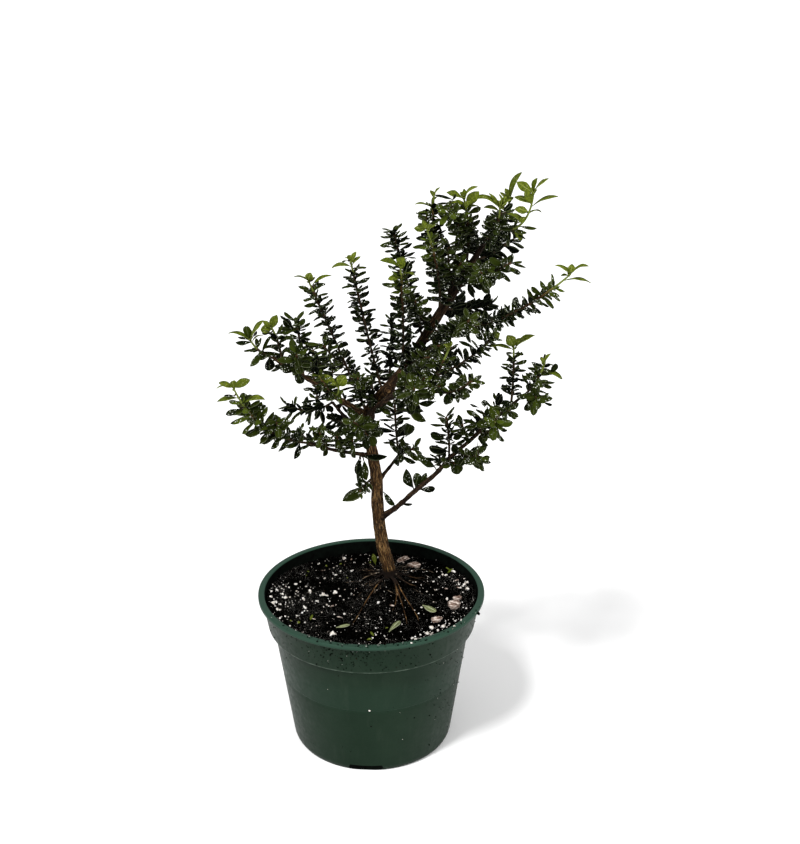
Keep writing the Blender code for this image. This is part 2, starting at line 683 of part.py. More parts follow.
class Crowd:
    """Remembers what is already in place, and says whether a new leaf would touch it."""

    def __init__(self):
        self.held = []

    def add(self, owner, points, faces):
        low = Vector([min(p[i] for p in points) for i in range(3)])
        high = Vector([max(p[i] for p in points) for i in range(3)])
        self.held.append((owner, low, high, BVHTree.FromPolygons(points, faces)))

    def add_object(self, owner, obj):
        points = [v.co / MM for v in obj.data.vertices]
        self.add(owner, points, [tuple(p.vertices) for p in obj.data.polygons])

    def blocks(self, owner, points, faces):
        low = Vector([min(p[i] for p in points) for i in range(3)])
        high = Vector([max(p[i] for p in points) for i in range(3)])
        probe = BVHTree.FromPolygons(points, faces)
        for other, other_low, other_high, tree in self.held:
            if other == owner + " stem":
                continue
            apart = any(low[i] > other_high[i] or high[i] < other_low[i] for i in range(3))
            if not apart and probe.overlap(tree):
                return True
        return False


def thickened(points, margin):
    """A leaf's points moved apart by a margin, to test that it keeps clear of what is round it."""
    centre = (points[7] + points[8]) / 2
    normal = (points[7] - points[8]).normalized()
    grown = []
    for i, p in enumerate(points):
        out = p - centre
        flat = out - normal * out.dot(normal)
        push = flat.normalized() * margin if flat.length > 0.01 else Vector((0, 0, 0))
        grown.append(p + (push if i > 1 else Vector((0, 0, 0))))
    grown[7] += normal * margin * 2
    grown[8] -= normal * margin * 2
    return grown


def grow_leaves(name, stems, wanted, crowd):
    """Adds leaves to a stem: each that would touch another piece is tilted clear of it, or left out."""
    blades = new_collection(name + " blades")
    for place, heading, face, length, width in wanted:
        for tilt in (0, 18, -18, 34, -34):
            turned = Matrix.Rotation(math.radians(tilt), 3, face.cross(heading).normalized()) @ heading
            points, faces = leaf_placed(place, turned, face, length, width)
            if not crowd.blocks(name, thickened(points, 0.45), faces):
                mesh_object("blade", mesh_from("blade", points, faces), blades)
                crowd.add(name, points, faces)
                break
    boolean(stems, "UNION", blades)
    return stems


def make_sprays(collection, sprays, wood):
    """Every spray's dark, leafy stem and pale tuft, each leaf clear of all but its own stem."""
    crowd = Crowd()
    crowd.add_object("wood", wood)
    stems, twig_lines = {}, {}
    for name, parts in sprays.items():
        line = parts["leafy"]
        sizes = tapered(len(line), STEM_RADIUS, STEM_RADIUS * 0.8)
        stem = tube("spray_" + name, line, sizes, 0, collection)
        side_twigs = new_collection(name + " twigs")
        twig_lines[name] = []
        for share, tip in SPRAYS[name].get("twigs", []):
            start, direction = point_at(line, share * route_length(line))
            end = Vector(tip)
            via = (start + end) / 2 + direction * 3 - Vector((0, 0, 2.5))
            twig = arc_through(start, via, end, 11.0)
            twig_lines[name].append(twig)
            tube("twig", twig, tapered(len(twig), TWIG_RADIUS, TWIG_RADIUS * 0.85), 0, side_twigs)
        if side_twigs.objects:
            boolean(stem, "UNION", side_twigs)
        stems[name] = stem
        crowd.add_object("spray_" + name + " stem", stem)
        if parts["young"]:
            line = parts["young"]
            sizes = tapered(len(line), STEM_RADIUS * 0.8, 0.5)
            tip_stem = tube("new_growth_" + name, line, sizes, 0, collection)
            stems["new " + name] = tip_stem
            crowd.add_object("new_growth_" + name + " stem", tip_stem)
    for name, parts in sprays.items():
        if parts["young"]:
            spray = SPRAYS[name]
            wanted = young_leaves(name, parts["young"], spray["young"], spray.get("tall"))
            tuft = grow_leaves("new_growth_" + name, stems["new " + name], wanted, crowd)
            finished(tuft, "young leaf")
    for name, parts in sprays.items():
        scale = SPRAYS[name].get("leaf", 1.0)
        wanted = list(dark_leaves(name, parts["leafy"], scale))
        for i, line in enumerate(twig_lines[name]):
            wanted += list(dark_leaves(f"{name} twig {i}", line, scale * 0.95))
        finished(grow_leaves("spray_" + name, stems[name], wanted, crowd), "leaf")


def make_fallen_leaves(collection):
    """Three dropped leaves that lie on the soil."""
    for name, ((x, y), heading_deg, length) in FALLEN_LEAVES.items():
        heading = Vector((math.cos(math.radians(heading_deg)), math.sin(math.radians(heading_deg)), 0))
        side = Vector((-heading.y, heading.x, 0))
        start = Vector((x, y, 0)) - heading * length / 2
        outline = [(0, 0), (0.3, 0.4), (0.7, 0.45), (1, 0), (0.7, -0.45), (0.3, -0.4), (0.5, 0)]
        spots = [start + heading * length * a + side * length * 0.4 * b for a, b in outline]
        rest = max(soil_height(p.x, p.y) for p in spots) + GAP + LEAF_THICKNESS * 0.5 + 0.15
        start.z = rest
        points, faces = leaf_placed(start, heading, Vector((0, 0, 1)), length, length * 0.4)
        points[4].z = rest
        leaf = mesh_object(name, mesh_from(name, points, faces), collection)
        finished(leaf, "dry leaf")


def main():
    clear_scene()
    plant = new_collection("bahama berry bonsai")
    limbs = limb_routes()
    sprays = spray_routes(limbs)
    make_pot(plant)
    make_soil(plant, soil_hole_cutters())
    wood = make_wood(plant, limbs, sprays)
    make_sprays(plant, sprays, wood)
    make_fallen_leaves(plant)


main()
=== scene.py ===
import math
import random

import bmesh
import bpy
import numpy as np
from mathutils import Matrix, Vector, kdtree, noise


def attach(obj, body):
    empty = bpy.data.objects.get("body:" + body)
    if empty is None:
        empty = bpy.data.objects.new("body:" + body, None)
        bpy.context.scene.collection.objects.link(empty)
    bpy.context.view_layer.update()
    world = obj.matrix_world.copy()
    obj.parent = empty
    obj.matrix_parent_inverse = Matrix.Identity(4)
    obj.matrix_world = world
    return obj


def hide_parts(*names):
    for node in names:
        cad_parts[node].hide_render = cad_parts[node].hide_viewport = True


# A young Bahama berry bonsai in a green nursery pot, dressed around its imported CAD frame.
# Lengths are in millimetres unless a name says otherwise, and every point becomes metres in buildMesh.

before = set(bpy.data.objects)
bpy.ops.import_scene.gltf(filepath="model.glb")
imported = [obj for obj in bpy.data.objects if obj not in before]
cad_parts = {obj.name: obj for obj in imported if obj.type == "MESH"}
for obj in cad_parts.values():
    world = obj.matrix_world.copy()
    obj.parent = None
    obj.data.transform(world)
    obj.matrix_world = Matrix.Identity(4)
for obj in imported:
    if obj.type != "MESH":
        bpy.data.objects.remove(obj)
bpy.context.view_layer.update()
mm = 0.001
up = Vector((0, 0, 1))
viewer = Vector((0, -0.88, 0.48))  # the way from the tree to the photo's viewer
print("frame loaded with", len(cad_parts), "nodes")


# Small tools for meshes

def buildMesh(name, points, faces, materials, smooth=True):
    mesh = bpy.data.meshes.new(name)
    mesh.from_pydata((np.asarray(points, dtype=float) * mm).tolist(), [], faces)
    for material in materials:
        mesh.materials.append(material)
    mesh.polygons.foreach_set("use_smooth", [smooth] * len(mesh.polygons))
    mesh.update()
    made = bpy.data.objects.new(name, mesh)
    bpy.context.scene.collection.objects.link(made)
    return made


def noteOnPoints(made, name, kind, values):
    # keeps a number or a vector with every point, for the material to read
    attribute = made.data.attributes.new(name, kind, "POINT")
    field = "vector" if kind == "FLOAT_VECTOR" else "value"
    attribute.data.foreach_set(field, np.asarray(values, dtype=np.float32).ravel())


def setInPlace(made, slot, *nodes):
    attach(made, "root")
    if nodes:
        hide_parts(*nodes)
    return made


def smoothStep(low, high, x):
    t = np.clip((x - low) / (high - low), 0, 1)
    return t * t * (3 - 2 * t)


def towards(turn, rise=0.0):
    # a level direction, turned from X about Z, that may rise or fall
    return Vector((math.cos(turn), math.sin(turn), rise))


def aboutZ(turn):
    c, s = math.cos(turn), math.sin(turn)
    return np.array([[c, -s, 0], [s, c, 0], [0, 0, 1]])


# Small tools for materials

class Finish:
    # one material and the short calls that wire its nodes

    def __init__(self, name, **sockets):
        self.material = bpy.data.materials.new(name)
        self.material.use_nodes = True
        self.tree = self.material.node_tree
        self.shader = self.tree.nodes["Principled BSDF"]
        self.set(self.shader, sockets)
        place = self.node("TexCoord").outputs["Object"]
        scaled = self.node("VectorMath", {"operation": "SCALE"}, Vector=place, Scale=1 / mm)
        self.place = scaled.outputs[0]

    def set(self, made, sockets):
        for name, value in sockets.items():
            socket = made.inputs[int(name[1:])] if name[0] == "_" else made.inputs[name.replace("_", " ")]
            if isinstance(value, bpy.types.NodeSocket):
                self.tree.links.new(value, socket)
            else:
                socket.default_value = value

    def node(self, kind, settings=None, **sockets):
        made = self.tree.nodes.new("ShaderNode" + kind)
        for name, value in (settings or {}).items():
            setattr(made, name, value)
        self.set(made, sockets)
        return made

    def noted(self, name):
        return self.node("Attribute", {"attribute_name": name}).outputs

    def axes(self, name):
        return self.node("SeparateXYZ", None, Vector=self.noted(name)["Vector"]).outputs

    def stretched(self, x, y, z, vector=None):
        scaled = self.node("VectorMath", {"operation": "MULTIPLY"}, _0=vector or self.place, _1=(x, y, z))
        return scaled.outputs[0]

    def grain(self, scale, detail=4.0, rough=0.55, vector=None):
        return self.node("TexNoise", None, Vector=vector or self.place, Scale=scale, Detail=detail,
                         Roughness=rough).outputs["Fac"]

    def cells(self, scale, vector=None, feature="F1"):
        return self.node("TexVoronoi", {"feature": feature}, Vector=vector or self.place,
                         Scale=scale).outputs

    def ramp(self, amount, *stops):
        made = self.node("ValToRGB", None, Fac=amount)
        elements = made.color_ramp.elements
        while len(elements) < len(stops):
            elements.new(0.5)
        for element, (at, colour) in zip(elements, stops):
            element.position = at
            element.color = (colour,) * 3 + (1,) if isinstance(colour, (int, float)) else (*colour, 1)
        return made.outputs["Color"]

    def mix(self, amount, first, second):
        made = self.node("Mix", {"data_type": "RGBA"}, _0=amount)
        self.set(made, {"_6": self.full(first), "_7": self.full(second)})
        return made.outputs[2]

    def full(self, colour):
        return (*colour, 1) if isinstance(colour, tuple) and len(colour) == 3 else colour

    def reckon(self, operation, first, second=0.0):
        return self.node("Math", {"operation": operation}, _0=first, _1=second).outputs[0]

    def times(self, first, second):
        return self.reckon("MULTIPLY", first, second)

    def relief(self, height, strength, distance, below=None):
        made = self.node("Bump", None, Height=height, Strength=strength, Distance=distance * mm)
        if below:
            self.set(made, {"Normal": below})
        return made.outputs["Normal"]

    def done(self, **sockets):
        self.set(self.shader, sockets)
        return self.material


# Routes that wood, roots and stems follow, in the same way as the CAD part lays them

def smoothRoute(points, step):
    knots = [Vector(p) for p in points]
    knots = [knots[0] * 2 - knots[1], *knots, knots[-1] * 2 - knots[-2]]
    route = []
    for a, b, c, d in zip(knots, knots[1:], knots[2:], knots[3:]):
        count = max(1, round((c - b).length / step))
        for i in range(count):
            t = i / count
            curved = 2 * b + (c - a) * t + (2 * a - 5 * b + 4 * c - d) * t**2
            curved += (3 * b - a - 3 * c + d) * t**3
            route.append(curved * 0.5)
    return [*route, knots[-2]]


def arcThrough(start, via, end, step):
    control = 2 * via - (start + end) / 2
    count = max(4, round((end - start).length / step))
    shares = [i / count for i in range(count + 1)]
    return [start * (1 - t) ** 2 + control * (2 * t * (1 - t)) + end * t**2 for t in shares]


def routeLength(route):
    return sum((b - a).length for a, b in zip(route, route[1:]))


def pointAt(route, distance):
    for a, b in zip(route, route[1:]):
        step = (b - a).length
        if distance <= step or b is route[-1]:
            return a.lerp(b, distance / step), (b - a).normalized()
        distance -= step


def partOf(route, begin, end):
    kept, walked = [pointAt(route, begin)[0]], 0.0
    for a, b in zip(route, route[1:]):
        walked += (b - a).length
        if begin + 0.3 < walked < end - 0.3:
            kept.append(b)
    return [*kept, pointAt(route, end)[0]]


def nearestOn(route, point):
    best, walked = (math.inf, 0.0), 0.0
    for a, b in zip(route, route[1:]):
        step = b - a
        share = min(1.0, max(0.0, (point - a).dot(step) / step.length_squared))
        best = min(best, ((a + step * share - point).length, walked + share * step.length))
        walked += step.length
    return best[1]


def sweep(route, radii, sides):
    # points and faces of a closed round tube; its ring turns as little as it can from point to point
    points, faces = [], []
    ahead = (route[1] - route[0]).normalized()
    side = ahead.orthogonal().normalized()
    for i, (centre, radius) in enumerate(zip(route, radii)):
        ahead = (route[min(i + 1, len(route) - 1)] - route[max(i - 1, 0)]).normalized()
        side = (side - ahead * side.dot(ahead)).normalized()
        across = ahead.cross(side)
        for k in range(sides):
            turn = math.tau * k / sides
            points.append(centre + (side * math.cos(turn) + across * math.sin(turn)) * radius)
        if i:
            a, b = (i - 1) * sides, i * sides
            faces += [(a + k, a + (k + 1) % sides, b + (k + 1) % sides, b + k) for k in range(sides)]
    last = len(points)
    points += [route[0], route[-1]]
    top = last - sides
    faces += [(last, (k + 1) % sides, k) for k in range(sides)]
    faces += [(last + 1, top + k, top + (k + 1) % sides) for k in range(sides)]
    return points, faces


# The pot

potPlan = {
    "rimRadius": 82.5, "height": 117.0, "lipHeight": 3.0, "bandTop": 79.5, "bandBottom": 75.8,
    "bandBottomZ": 92.5, "bodyTop": 72.0, "bodyFoot": 59.2, "base": 57.5, "footBevel": 3.0, "wall": 1.5,
    "floorRise": 5.5, "padRadius": 20.0, "footRing": 5.0, "segments": 160,
    "mouldLineZ": 56.0, "mouldLineStep": 0.22,
    "drainHoles": 6, "drainRadius": 5.0, "drainCircle": 38.0,
    "notches": 4, "notchWidth": 25.0, "notchHeight": 5.2, "notchDepth": 0.5, "firstNotch": -93.5,
}


def bodyRadius(z):
    share = (z - potPlan["footBevel"]) / (potPlan["bandBottomZ"] - potPlan["footBevel"])
    return potPlan["bodyFoot"] + (potPlan["bodyTop"] - potPlan["bodyFoot"]) * share


def filleted(corners, steps=4):
    # replaces each (radius, height, fillet) corner by a short curve
    rounded = []
    for i, (r, z, fillet) in enumerate(corners):
        here = Vector((r, z))
        if not fillet or i in (0, len(corners) - 1):
            rounded.append(here)
            continue
        before, after = Vector(corners[i - 1][:2]), Vector(corners[i + 1][:2])
        start = here + (before - here).normalized() * min(fillet, (before - here).length * 0.48)
        end = here + (after - here).normalized() * min(fillet, (after - here).length * 0.48)
        for k in range(steps + 1):
            t = k / steps
            rounded.append(start * (1 - t) ** 2 + here * 2 * t * (1 - t) + end * t**2)
    return rounded


def turned(profile, segments):
    # a closed profile that starts and ends on the axis, turned round Z
    points, faces = [], []
    inner = profile[1:-1]
    for p in inner:
        for k in range(segments):
            turn = math.tau * k / segments
            points.append((p.x * math.cos(turn), p.x * math.sin(turn), p.y))
    for i in range(len(inner) - 1):
        a, b = i * segments, (i + 1) * segments
        faces += [(a + k, b + k, b + (k + 1) % segments, a + (k + 1) % segments) for k in range(segments)]
    first, last = len(points), len(points) + 1
    points += [(0, 0, profile[0].y), (0, 0, profile[-1].y)]
    top = (len(inner) - 1) * segments
    faces += [(first, k, (k + 1) % segments) for k in range(segments)]
    faces += [(last, top + (k + 1) % segments, top + k) for k in range(segments)]
    return points, faces


def cutAway(made, cutters):
    for points, faces in cutters:
        cutter = buildMesh("cutter", points, faces, [])
        change = made.modifiers.new("cut", "BOOLEAN")
        change.operation, change.object, change.solver = "DIFFERENCE", cutter, "EXACT"
        cut = made.evaluated_get(bpy.context.evaluated_depsgraph_get())
        mesh = bpy.data.meshes.new_from_object(cut)
        made.modifiers.clear()
        made.data = mesh
        bpy.data.objects.remove(cutter, do_unlink=True)


def notchBar(angle):
    half, top = potPlan["notchWidth"] / 2, potPlan["notchHeight"]
    outline = [(-half - 1.2, -1.0), (half + 1.2, -1.0), (half - 1.0, top), (-half + 1.0, top)]
    near, far = potPlan["base"] - potPlan["notchDepth"], potPlan["base"] + 5
    points = []
    for r in (near, far):
        for s, z in outline:
            x, y = r * math.cos(angle) - s * math.sin(angle), r * math.sin(angle) + s * math.cos(angle)
            points.append((x, y, z))
    return points, [(3, 2, 1, 0), (4, 5, 6, 7), (0, 1, 5, 4), (1, 2, 6, 5), (2, 3, 7, 6), (3, 0, 4, 7)]


def potPlastic():
    made = Finish("potPlastic", Specular_IOR_Level=0.06)
    above = made.node("SeparateXYZ", None, Vector=made.place).outputs["Z"]
    level = made.reckon("DIVIDE", above, potPlan["height"])
    broad = made.grain(0.022, 3.0)
    streaks = made.grain(0.16, 5.0, 0.6, made.stretched(1, 1, 0.12))
    body = made.mix(made.ramp(broad, (0.35, 0.0), (0.7, 1.0)), (0.0046, 0.0140, 0.0068),
                    (0.0080, 0.0195, 0.0105))
    paler = made.ramp(level, (0.46, 0.0), (0.485, 0.8), (0.62, 0.6), (0.68, 0.0))
    body = made.mix(made.times(paler, 0.32), body, (0.0120, 0.033, 0.020))
    # a thin pale line along the band's lower edge, broken up by noise, is a painted highlight
    bandEdgeHighlight = made.times(made.ramp(level, (0.786, 0.0), (0.79, 1.0), (0.797, 1.0), (0.801, 0.0)),
                     made.ramp(made.grain(0.2, 3.0), (0.4, 0.15), (0.65, 0.8)))
    body = made.mix(bandEdgeHighlight, body, (0.075, 0.105, 0.080))
    dust = made.ramp(streaks, (0.54, 0.0), (0.78, 1.0))
    body = made.mix(made.times(dust, 0.05), body, (0.10, 0.115, 0.09))
    grime = made.ramp(made.grain(0.5, 8.0, 0.7), (0.60, 0.0), (0.68, 1.0))
    nearRim = made.ramp(level, (0.0, 0.5), (0.06, 0.12), (0.7, 0.2), (0.97, 0.85))
    body = made.mix(made.times(grime, nearRim), body, (0.003, 0.003, 0.002))
    # the lip's top and upper rim are painted a lighter green as a painted highlight
    lip = made.ramp(level, (0.972, 0.0), (0.985, 1.0))
    body = made.mix(made.times(lip, 0.6), body, (0.026, 0.060, 0.042))
    rough = made.ramp(made.grain(0.3, 6.0), (0.3, 0.34), (0.7, 0.5))
    scuffs = made.relief(made.grain(0.12, 2.0), 0.25, 0.6)
    skin = made.relief(made.grain(2.2, 4.0), 0.18, 0.05, scuffs)
    return made.done(Base_Color=body, Roughness=rough, Normal=skin)


def insideStainAndShade():
    # near black: partly the soil's stain on the inner wall, partly painted shade
    made = Finish("insideStainAndShade", Specular_IOR_Level=0.02, Roughness=0.8)
    grime = made.ramp(made.grain(0.2, 7.0, 0.65), (0.35, (0.0006, 0.0007, 0.0005)),
                      (0.7, (0.0025, 0.004, 0.003)))
    return made.done(Base_Color=grime, Normal=made.relief(made.grain(1.2, 5.0), 0.4, 0.2))


def makePot():
    plan = potPlan
    floor = plan["floorRise"] + plan["wall"]
    ledge = plan["bandBottomZ"] - 1.0
    wall, line = plan["wall"], plan["mouldLineZ"]
    corners = [
        (0, wall, 0), (plan["padRadius"] - wall, wall, 0.8), (plan["padRadius"] - wall + 1, floor, 0.8),
        (bodyRadius(floor) - wall, floor, 2.0), (bodyRadius(ledge) - wall, ledge, 1.0),
        (plan["bandBottom"] - wall, plan["bandBottomZ"] + 1, 1.0),
        (plan["bandTop"] - wall, plan["height"], 0.7), (plan["rimRadius"], plan["height"], 1.1),
        (plan["rimRadius"], plan["height"] - plan["lipHeight"], 0.8),
        (plan["bandTop"], plan["height"] - plan["lipHeight"] - 0.4, 0.9),
        (plan["bandBottom"], plan["bandBottomZ"], 0.9), (plan["bodyTop"], plan["bandBottomZ"] - 0.8, 1.0),
        (bodyRadius(line + 0.3), line + 0.3, 0.1), (bodyRadius(line) - plan["mouldLineStep"], line, 0.1),
        (bodyRadius(line - 3.0), line - 3.0, 0.8),
        (plan["bodyFoot"], plan["footBevel"], 2.2), (plan["base"], 0, 0.8),
        (plan["base"] - plan["footRing"], 0, 0.8),
        (plan["base"] - plan["footRing"] - 1, plan["floorRise"], 0.8),
        (plan["padRadius"] + 1, plan["floorRise"], 0.8), (plan["padRadius"], 0, 0.8), (0, 0, 0),
    ]
    profile = filleted(corners)
    points, faces = turned(profile, plan["segments"])
    pot = buildMesh("nursery_pot", points, [f[::-1] for f in faces], [potPlastic(), insideStainAndShade()])
    # the inside is stained by the soil up to its rim, and its near-black colour is also painted shade
    around = plan["segments"]
    clean = next(i for i, p in enumerate(profile) if p.y > plan["height"] - 2.5) - 1
    stainAndShadeFaces = [i // around < clean for i in range(len(faces) - 2 * around)]
    pot.data.polygons.foreach_set("material_index", stainAndShadeFaces + [True] * around + [False] * around)
    cutters = []
    for i in range(plan["drainHoles"]):
        turn = math.tau * (i + 0.5) / plan["drainHoles"]
        foot = Vector((plan["drainCircle"] * math.cos(turn), plan["drainCircle"] * math.sin(turn), 0))
        cutters.append(sweep([foot, foot + up * (floor + 4)], [plan["drainRadius"]] * 2, 28))
    for i in range(plan["notches"]):
        cutters.append(notchBar(math.radians(plan["firstNotch"]) + math.tau * i / plan["notches"]))
    cutAway(pot, cutters)
    # the faces of each notch's shallow recess take the near-black inside material as painted shade
    for face in pot.data.polygons:
        x, y, z = face.center / mm
        atBase = plan["base"] - 1.5 < math.hypot(x, y) < plan["base"] + 0.4
        if atBase and 0.1 < z < plan["notchHeight"] - 0.1:
            face.material_index = 1
    pot.data.shade_smooth()
    pot.data.set_sharp_from_angle(angle=math.radians(40))
    setInPlace(pot, "pot", "pot")


makePot()
print("pot made")


# The soil, its perlite and the litter on it

soilPlan = {
    "edgeZ": 107.5, "moundHeight": 7.0, "moundSpread": 26.0, "ripple": 0.8, "trunkAt": (12.5, 25.0),
    "bank": 7.0, "bankStart": 40.0, "across": 230, "edgeRadius": 76.1,
    # crumbs of three sizes, as (how many to a millimetre, how high)
    "crumbs": ((0.22, 1.5), (0.55, 1.0), (1.3, 0.5)), "crumbDepth": 0.25,
}


def soilHeight(x, y):
    away = math.hypot(x - soilPlan["trunkAt"][0], y - soilPlan["trunkAt"][1])
    mound = soilPlan["moundHeight"] * math.exp(-((away / soilPlan["moundSpread"]) ** 2))
    ripple = math.sin(0.11 * x + 1.3) * math.cos(0.09 * y - 0.4) + 0.6 * math.sin(0.23 * y + 0.17 * x)
    away = math.hypot(x, y)
    edge = max(0.0, 1 - away / potPlan["bandTop"])
    # banked up against the wall, but not at the back
    share = max(0.0, away - soilPlan["bankStart"]) / (potPlan["bandTop"] - soilPlan["bankStart"])
    bank = soilPlan["bank"] * share**2 * max(0.0, min(1.0, 1 - y / max(away, 1.0)))
    return soilPlan["edgeZ"] + mound + bank + soilPlan["ripple"] * ripple * min(1.0, 3 * edge)


def soilTop(x, y):
    # the height with its crumbs
    height = soilHeight(x, y)
    for pitch, size in soilPlan["crumbs"]:
        height += size * noise.noise(Vector((x * pitch, y * pitch, pitch * 10)))
    return height - soilPlan["crumbDepth"]


def soilMix():
    made = Finish("soilMix", Roughness=0.95, Specular_IOR_Level=0.0)
    lumps = made.grain(0.7, 8.0, 0.7)
    earth = made.ramp(lumps, (0.3, (0.0001, 0.0001, 0.0001)), (0.62, (0.0003, 0.0003, 0.0002)),
                      (0.85, (0.004, 0.003, 0.002)))
    strewn = made.ramp(made.grain(0.035, 2.0), (0.44, 0.1), (0.58, 1.0))
    for scale, low in ((1.9, 0.54), (3.1, 0.52)):
        bright = made.ramp(made.cells(scale)["Distance"], (0.1, 1.0), (0.24, 0.0))
        few = made.ramp(made.grain(scale * 0.8, 1.0), (low, 0.0), (low + 0.04, 1.0))
        white = made.times(made.times(bright, few), strewn)
        earth = made.mix(white, earth, (0.55, 0.53, 0.48))
    bump = made.relief(made.grain(2.5, 8.0, 0.75), 0.9, 0.9)
    return made.done(Base_Color=earth, Normal=bump)


def makeSoil():
    # a square grid bent into a disc, closed below by the pot's inner wall and floor
    side = soilPlan["across"]
    points, index = [], {}
    for i in range(side + 1):
        for j in range(side + 1):
            a, b = 2 * i / side - 1, 2 * j / side - 1
            if a == 0 and b == 0:
                r, turn = 0.0, 0.0
            elif abs(a) > abs(b):
                r, turn = a, math.pi / 4 * b / a
            else:
                r, turn = b, math.pi / 2 - math.pi / 4 * a / b
            x = soilPlan["edgeRadius"] * r * math.cos(turn)
            y = soilPlan["edgeRadius"] * r * math.sin(turn)
            index[i, j] = len(points)
            points.append((x, y, soilTop(x, y)))
    faces = []
    for i in range(side):
        for j in range(side):
            faces.append((index[i, j], index[i + 1, j], index[i + 1, j + 1], index[i, j + 1]))
    rim = [(i, 0) for i in range(side)] + [(side, j) for j in range(side)]
    rim += [(i, side) for i in range(side, 0, -1)] + [(0, j) for j in range(side, 0, -1)]
    ring = [index[k] for k in rim]
    wall = potPlan["wall"] + 0.3
    floor = potPlan["floorRise"] + potPlan["wall"] + 0.3
    ledge = potPlan["bandBottomZ"]
    levels = [(potPlan["bandBottom"] - wall, ledge + 1.5), (bodyRadius(ledge) - wall, ledge - 1.0),
              (bodyRadius(floor) - wall, floor)]
    for radius, z in levels:
        below = []
        for k in ring:
            x, y = points[k][:2]
            scale = radius / math.hypot(x, y)
            below.append(len(points))
            points.append((x * scale, y * scale, z))
        for k in range(len(ring)):
            after = (k + 1) % len(ring)
            faces.append((ring[k], below[k], below[after], ring[after]))
        ring = below
    faces.append(tuple(reversed(ring)))
    soil = buildMesh("potting_mix", points, faces, [soilMix()])
    setInPlace(soil, "potting_soil", "potting_soil")


makeSoil()
print("soil made")


def grainShape(level):
    # the points and faces of a small ball, to be bent into grains
    work = bmesh.new()
    bmesh.ops.create_icosphere(work, subdivisions=level, radius=1.0)
    points = np.array([v.co for v in work.verts])
    faces = [tuple(v.index for v in f.verts) for f in work.faces]
    work.free()
    return points, faces


ballShapes = {level: grainShape(level) for level in (1, 2, 3)}


def roughGrain(luck, size, stretch, level, unevenness):
    # one lumpy grain about its own middle, turned at random
    points, faces = ballShapes[level]
    seed = Vector([luck.uniform(-90, 90) for _ in range(3)])
    swell = [1 + unevenness * noise.noise(Vector(p) * 1.6 + seed) for p in points]
    shaped = points * np.array(swell)[:, None] * np.array(stretch) * size / 2
    around, over, tilt = (luck.uniform(0, math.tau) for _ in range(3))
    if max(stretch) > 1.3:
        # a slim grain lies almost flat
        c, s = math.cos(tilt * 0.08), math.sin(tilt * 0.08)
        tipped = np.array([[c, 0, s], [0, 1, 0], [-s, 0, c]])
    else:
        c, s = math.cos(over), math.sin(over)
        tipped = np.array([[1, 0, 0], [0, c, -s], [0, s, c]])
    return shaped @ (aboutZ(around) @ tipped).T, faces


class Scatter:
    # gathers many small shapes into one piece

    def __init__(self):
        self.points, self.faces, self.count = [], [], 0

    def add(self, points, faces):
        self.points.append(np.asarray(points, dtype=float))
        self.faces += [tuple(i + self.count for i in f) for f in faces]
        self.count += len(points)

    def piece(self, name, material, slot, *nodes, smooth=True):
        made = buildMesh(name, np.concatenate(self.points), self.faces, [material], smooth)
        return setInPlace(made, slot, *nodes)


def clearOfTrunk(x, y, margin):
    return math.hypot(x - soilPlan["trunkAt"][0], y - soilPlan["trunkAt"][1]) > margin


def somewhere(luck, margin=0.0):
    # a random place on the soil, at least a margin from its edge
    turn, r = luck.uniform(0, math.tau), (soilPlan["edgeRadius"] - margin) * math.sqrt(luck.random())
    return r * math.cos(turn), r * math.sin(turn)


def sizeBetween(luck, smallest, largest, power):
    return smallest + (largest - smallest) * luck.random() ** power


perlitePlan = {
    # clumps as (x, y, spread, how many, largest size), then the loose grains
    "clumps": [(-64, -10, 11, 40, 2.1), (-71, 12, 8, 26, 2.0), (-45, 6, 14, 22, 2.0),
               (-20, 10, 9, 8, 1.7), (-58, -28, 9, 14, 1.9), (-30, -8, 10, 6, 1.7),
               (38, -58, 10, 30, 2.3), (64, -14, 10, 24, 2.2), (70, 18, 8, 30, 2.2),
               (2, -58, 10, 12, 1.8), (56, -40, 8, 16, 2.2), (46, 20, 10, 12, 1.7),
               (-10, 58, 16, 12, 1.7), (34, 56, 14, 8, 1.7), (18, -24, 7, 4, 1.6),
               (57, 38, 6, 14, 1.8)],
    "chunks": [(-36, 7, 3.8), (-27, 11, 3.6), (-28, 36, 2.2), (5, -7, 2.6), (-26, -52, 4.6),
               (43, -46, 3.6), (47, -52, 3.2), (40, -56, 3.6), (35, -63, 2.8), (41, -64, 2.8),
               (51, -47, 3.0), (-71, -13, 3.0), (-63, -2, 2.8), (-50, 0, 3.2), (-46, 12, 2.4),
               (-57, 18, 2.4), (-48, -13, 2.6), (-23, 66, 3.2), (-73, -6, 2.4), (-67, -22, 2.6),
               (-19, -22, 1.8), (71, 9, 3.6), (73, -2, 3.2), (-16, 39, 2.0), (55, -4, 2.6),
               (70, -19, 4.0), (71, 18, 2.6), (62, 38, 3.2), (56, 35, 2.4), (-40, -2, 2.6)],
    "loose": 470, "smallest": 0.45, "largestLoose": 1.5, "seed": 41,
}


def perliteWhite():
    made = Finish("perliteWhite", Roughness=0.85, Specular_IOR_Level=0.3)
    stain = made.grain(0.35, 4.0, 0.6)
    white = made.ramp(stain, (0.33, (0.34, 0.28, 0.22)), (0.48, (0.70, 0.66, 0.60)),
                      (0.7, (0.90, 0.89, 0.87)))
    bump = made.relief(made.cells(3.2)["Distance"], 0.8, 0.25)
    return made.done(Base_Color=white, Normal=bump)


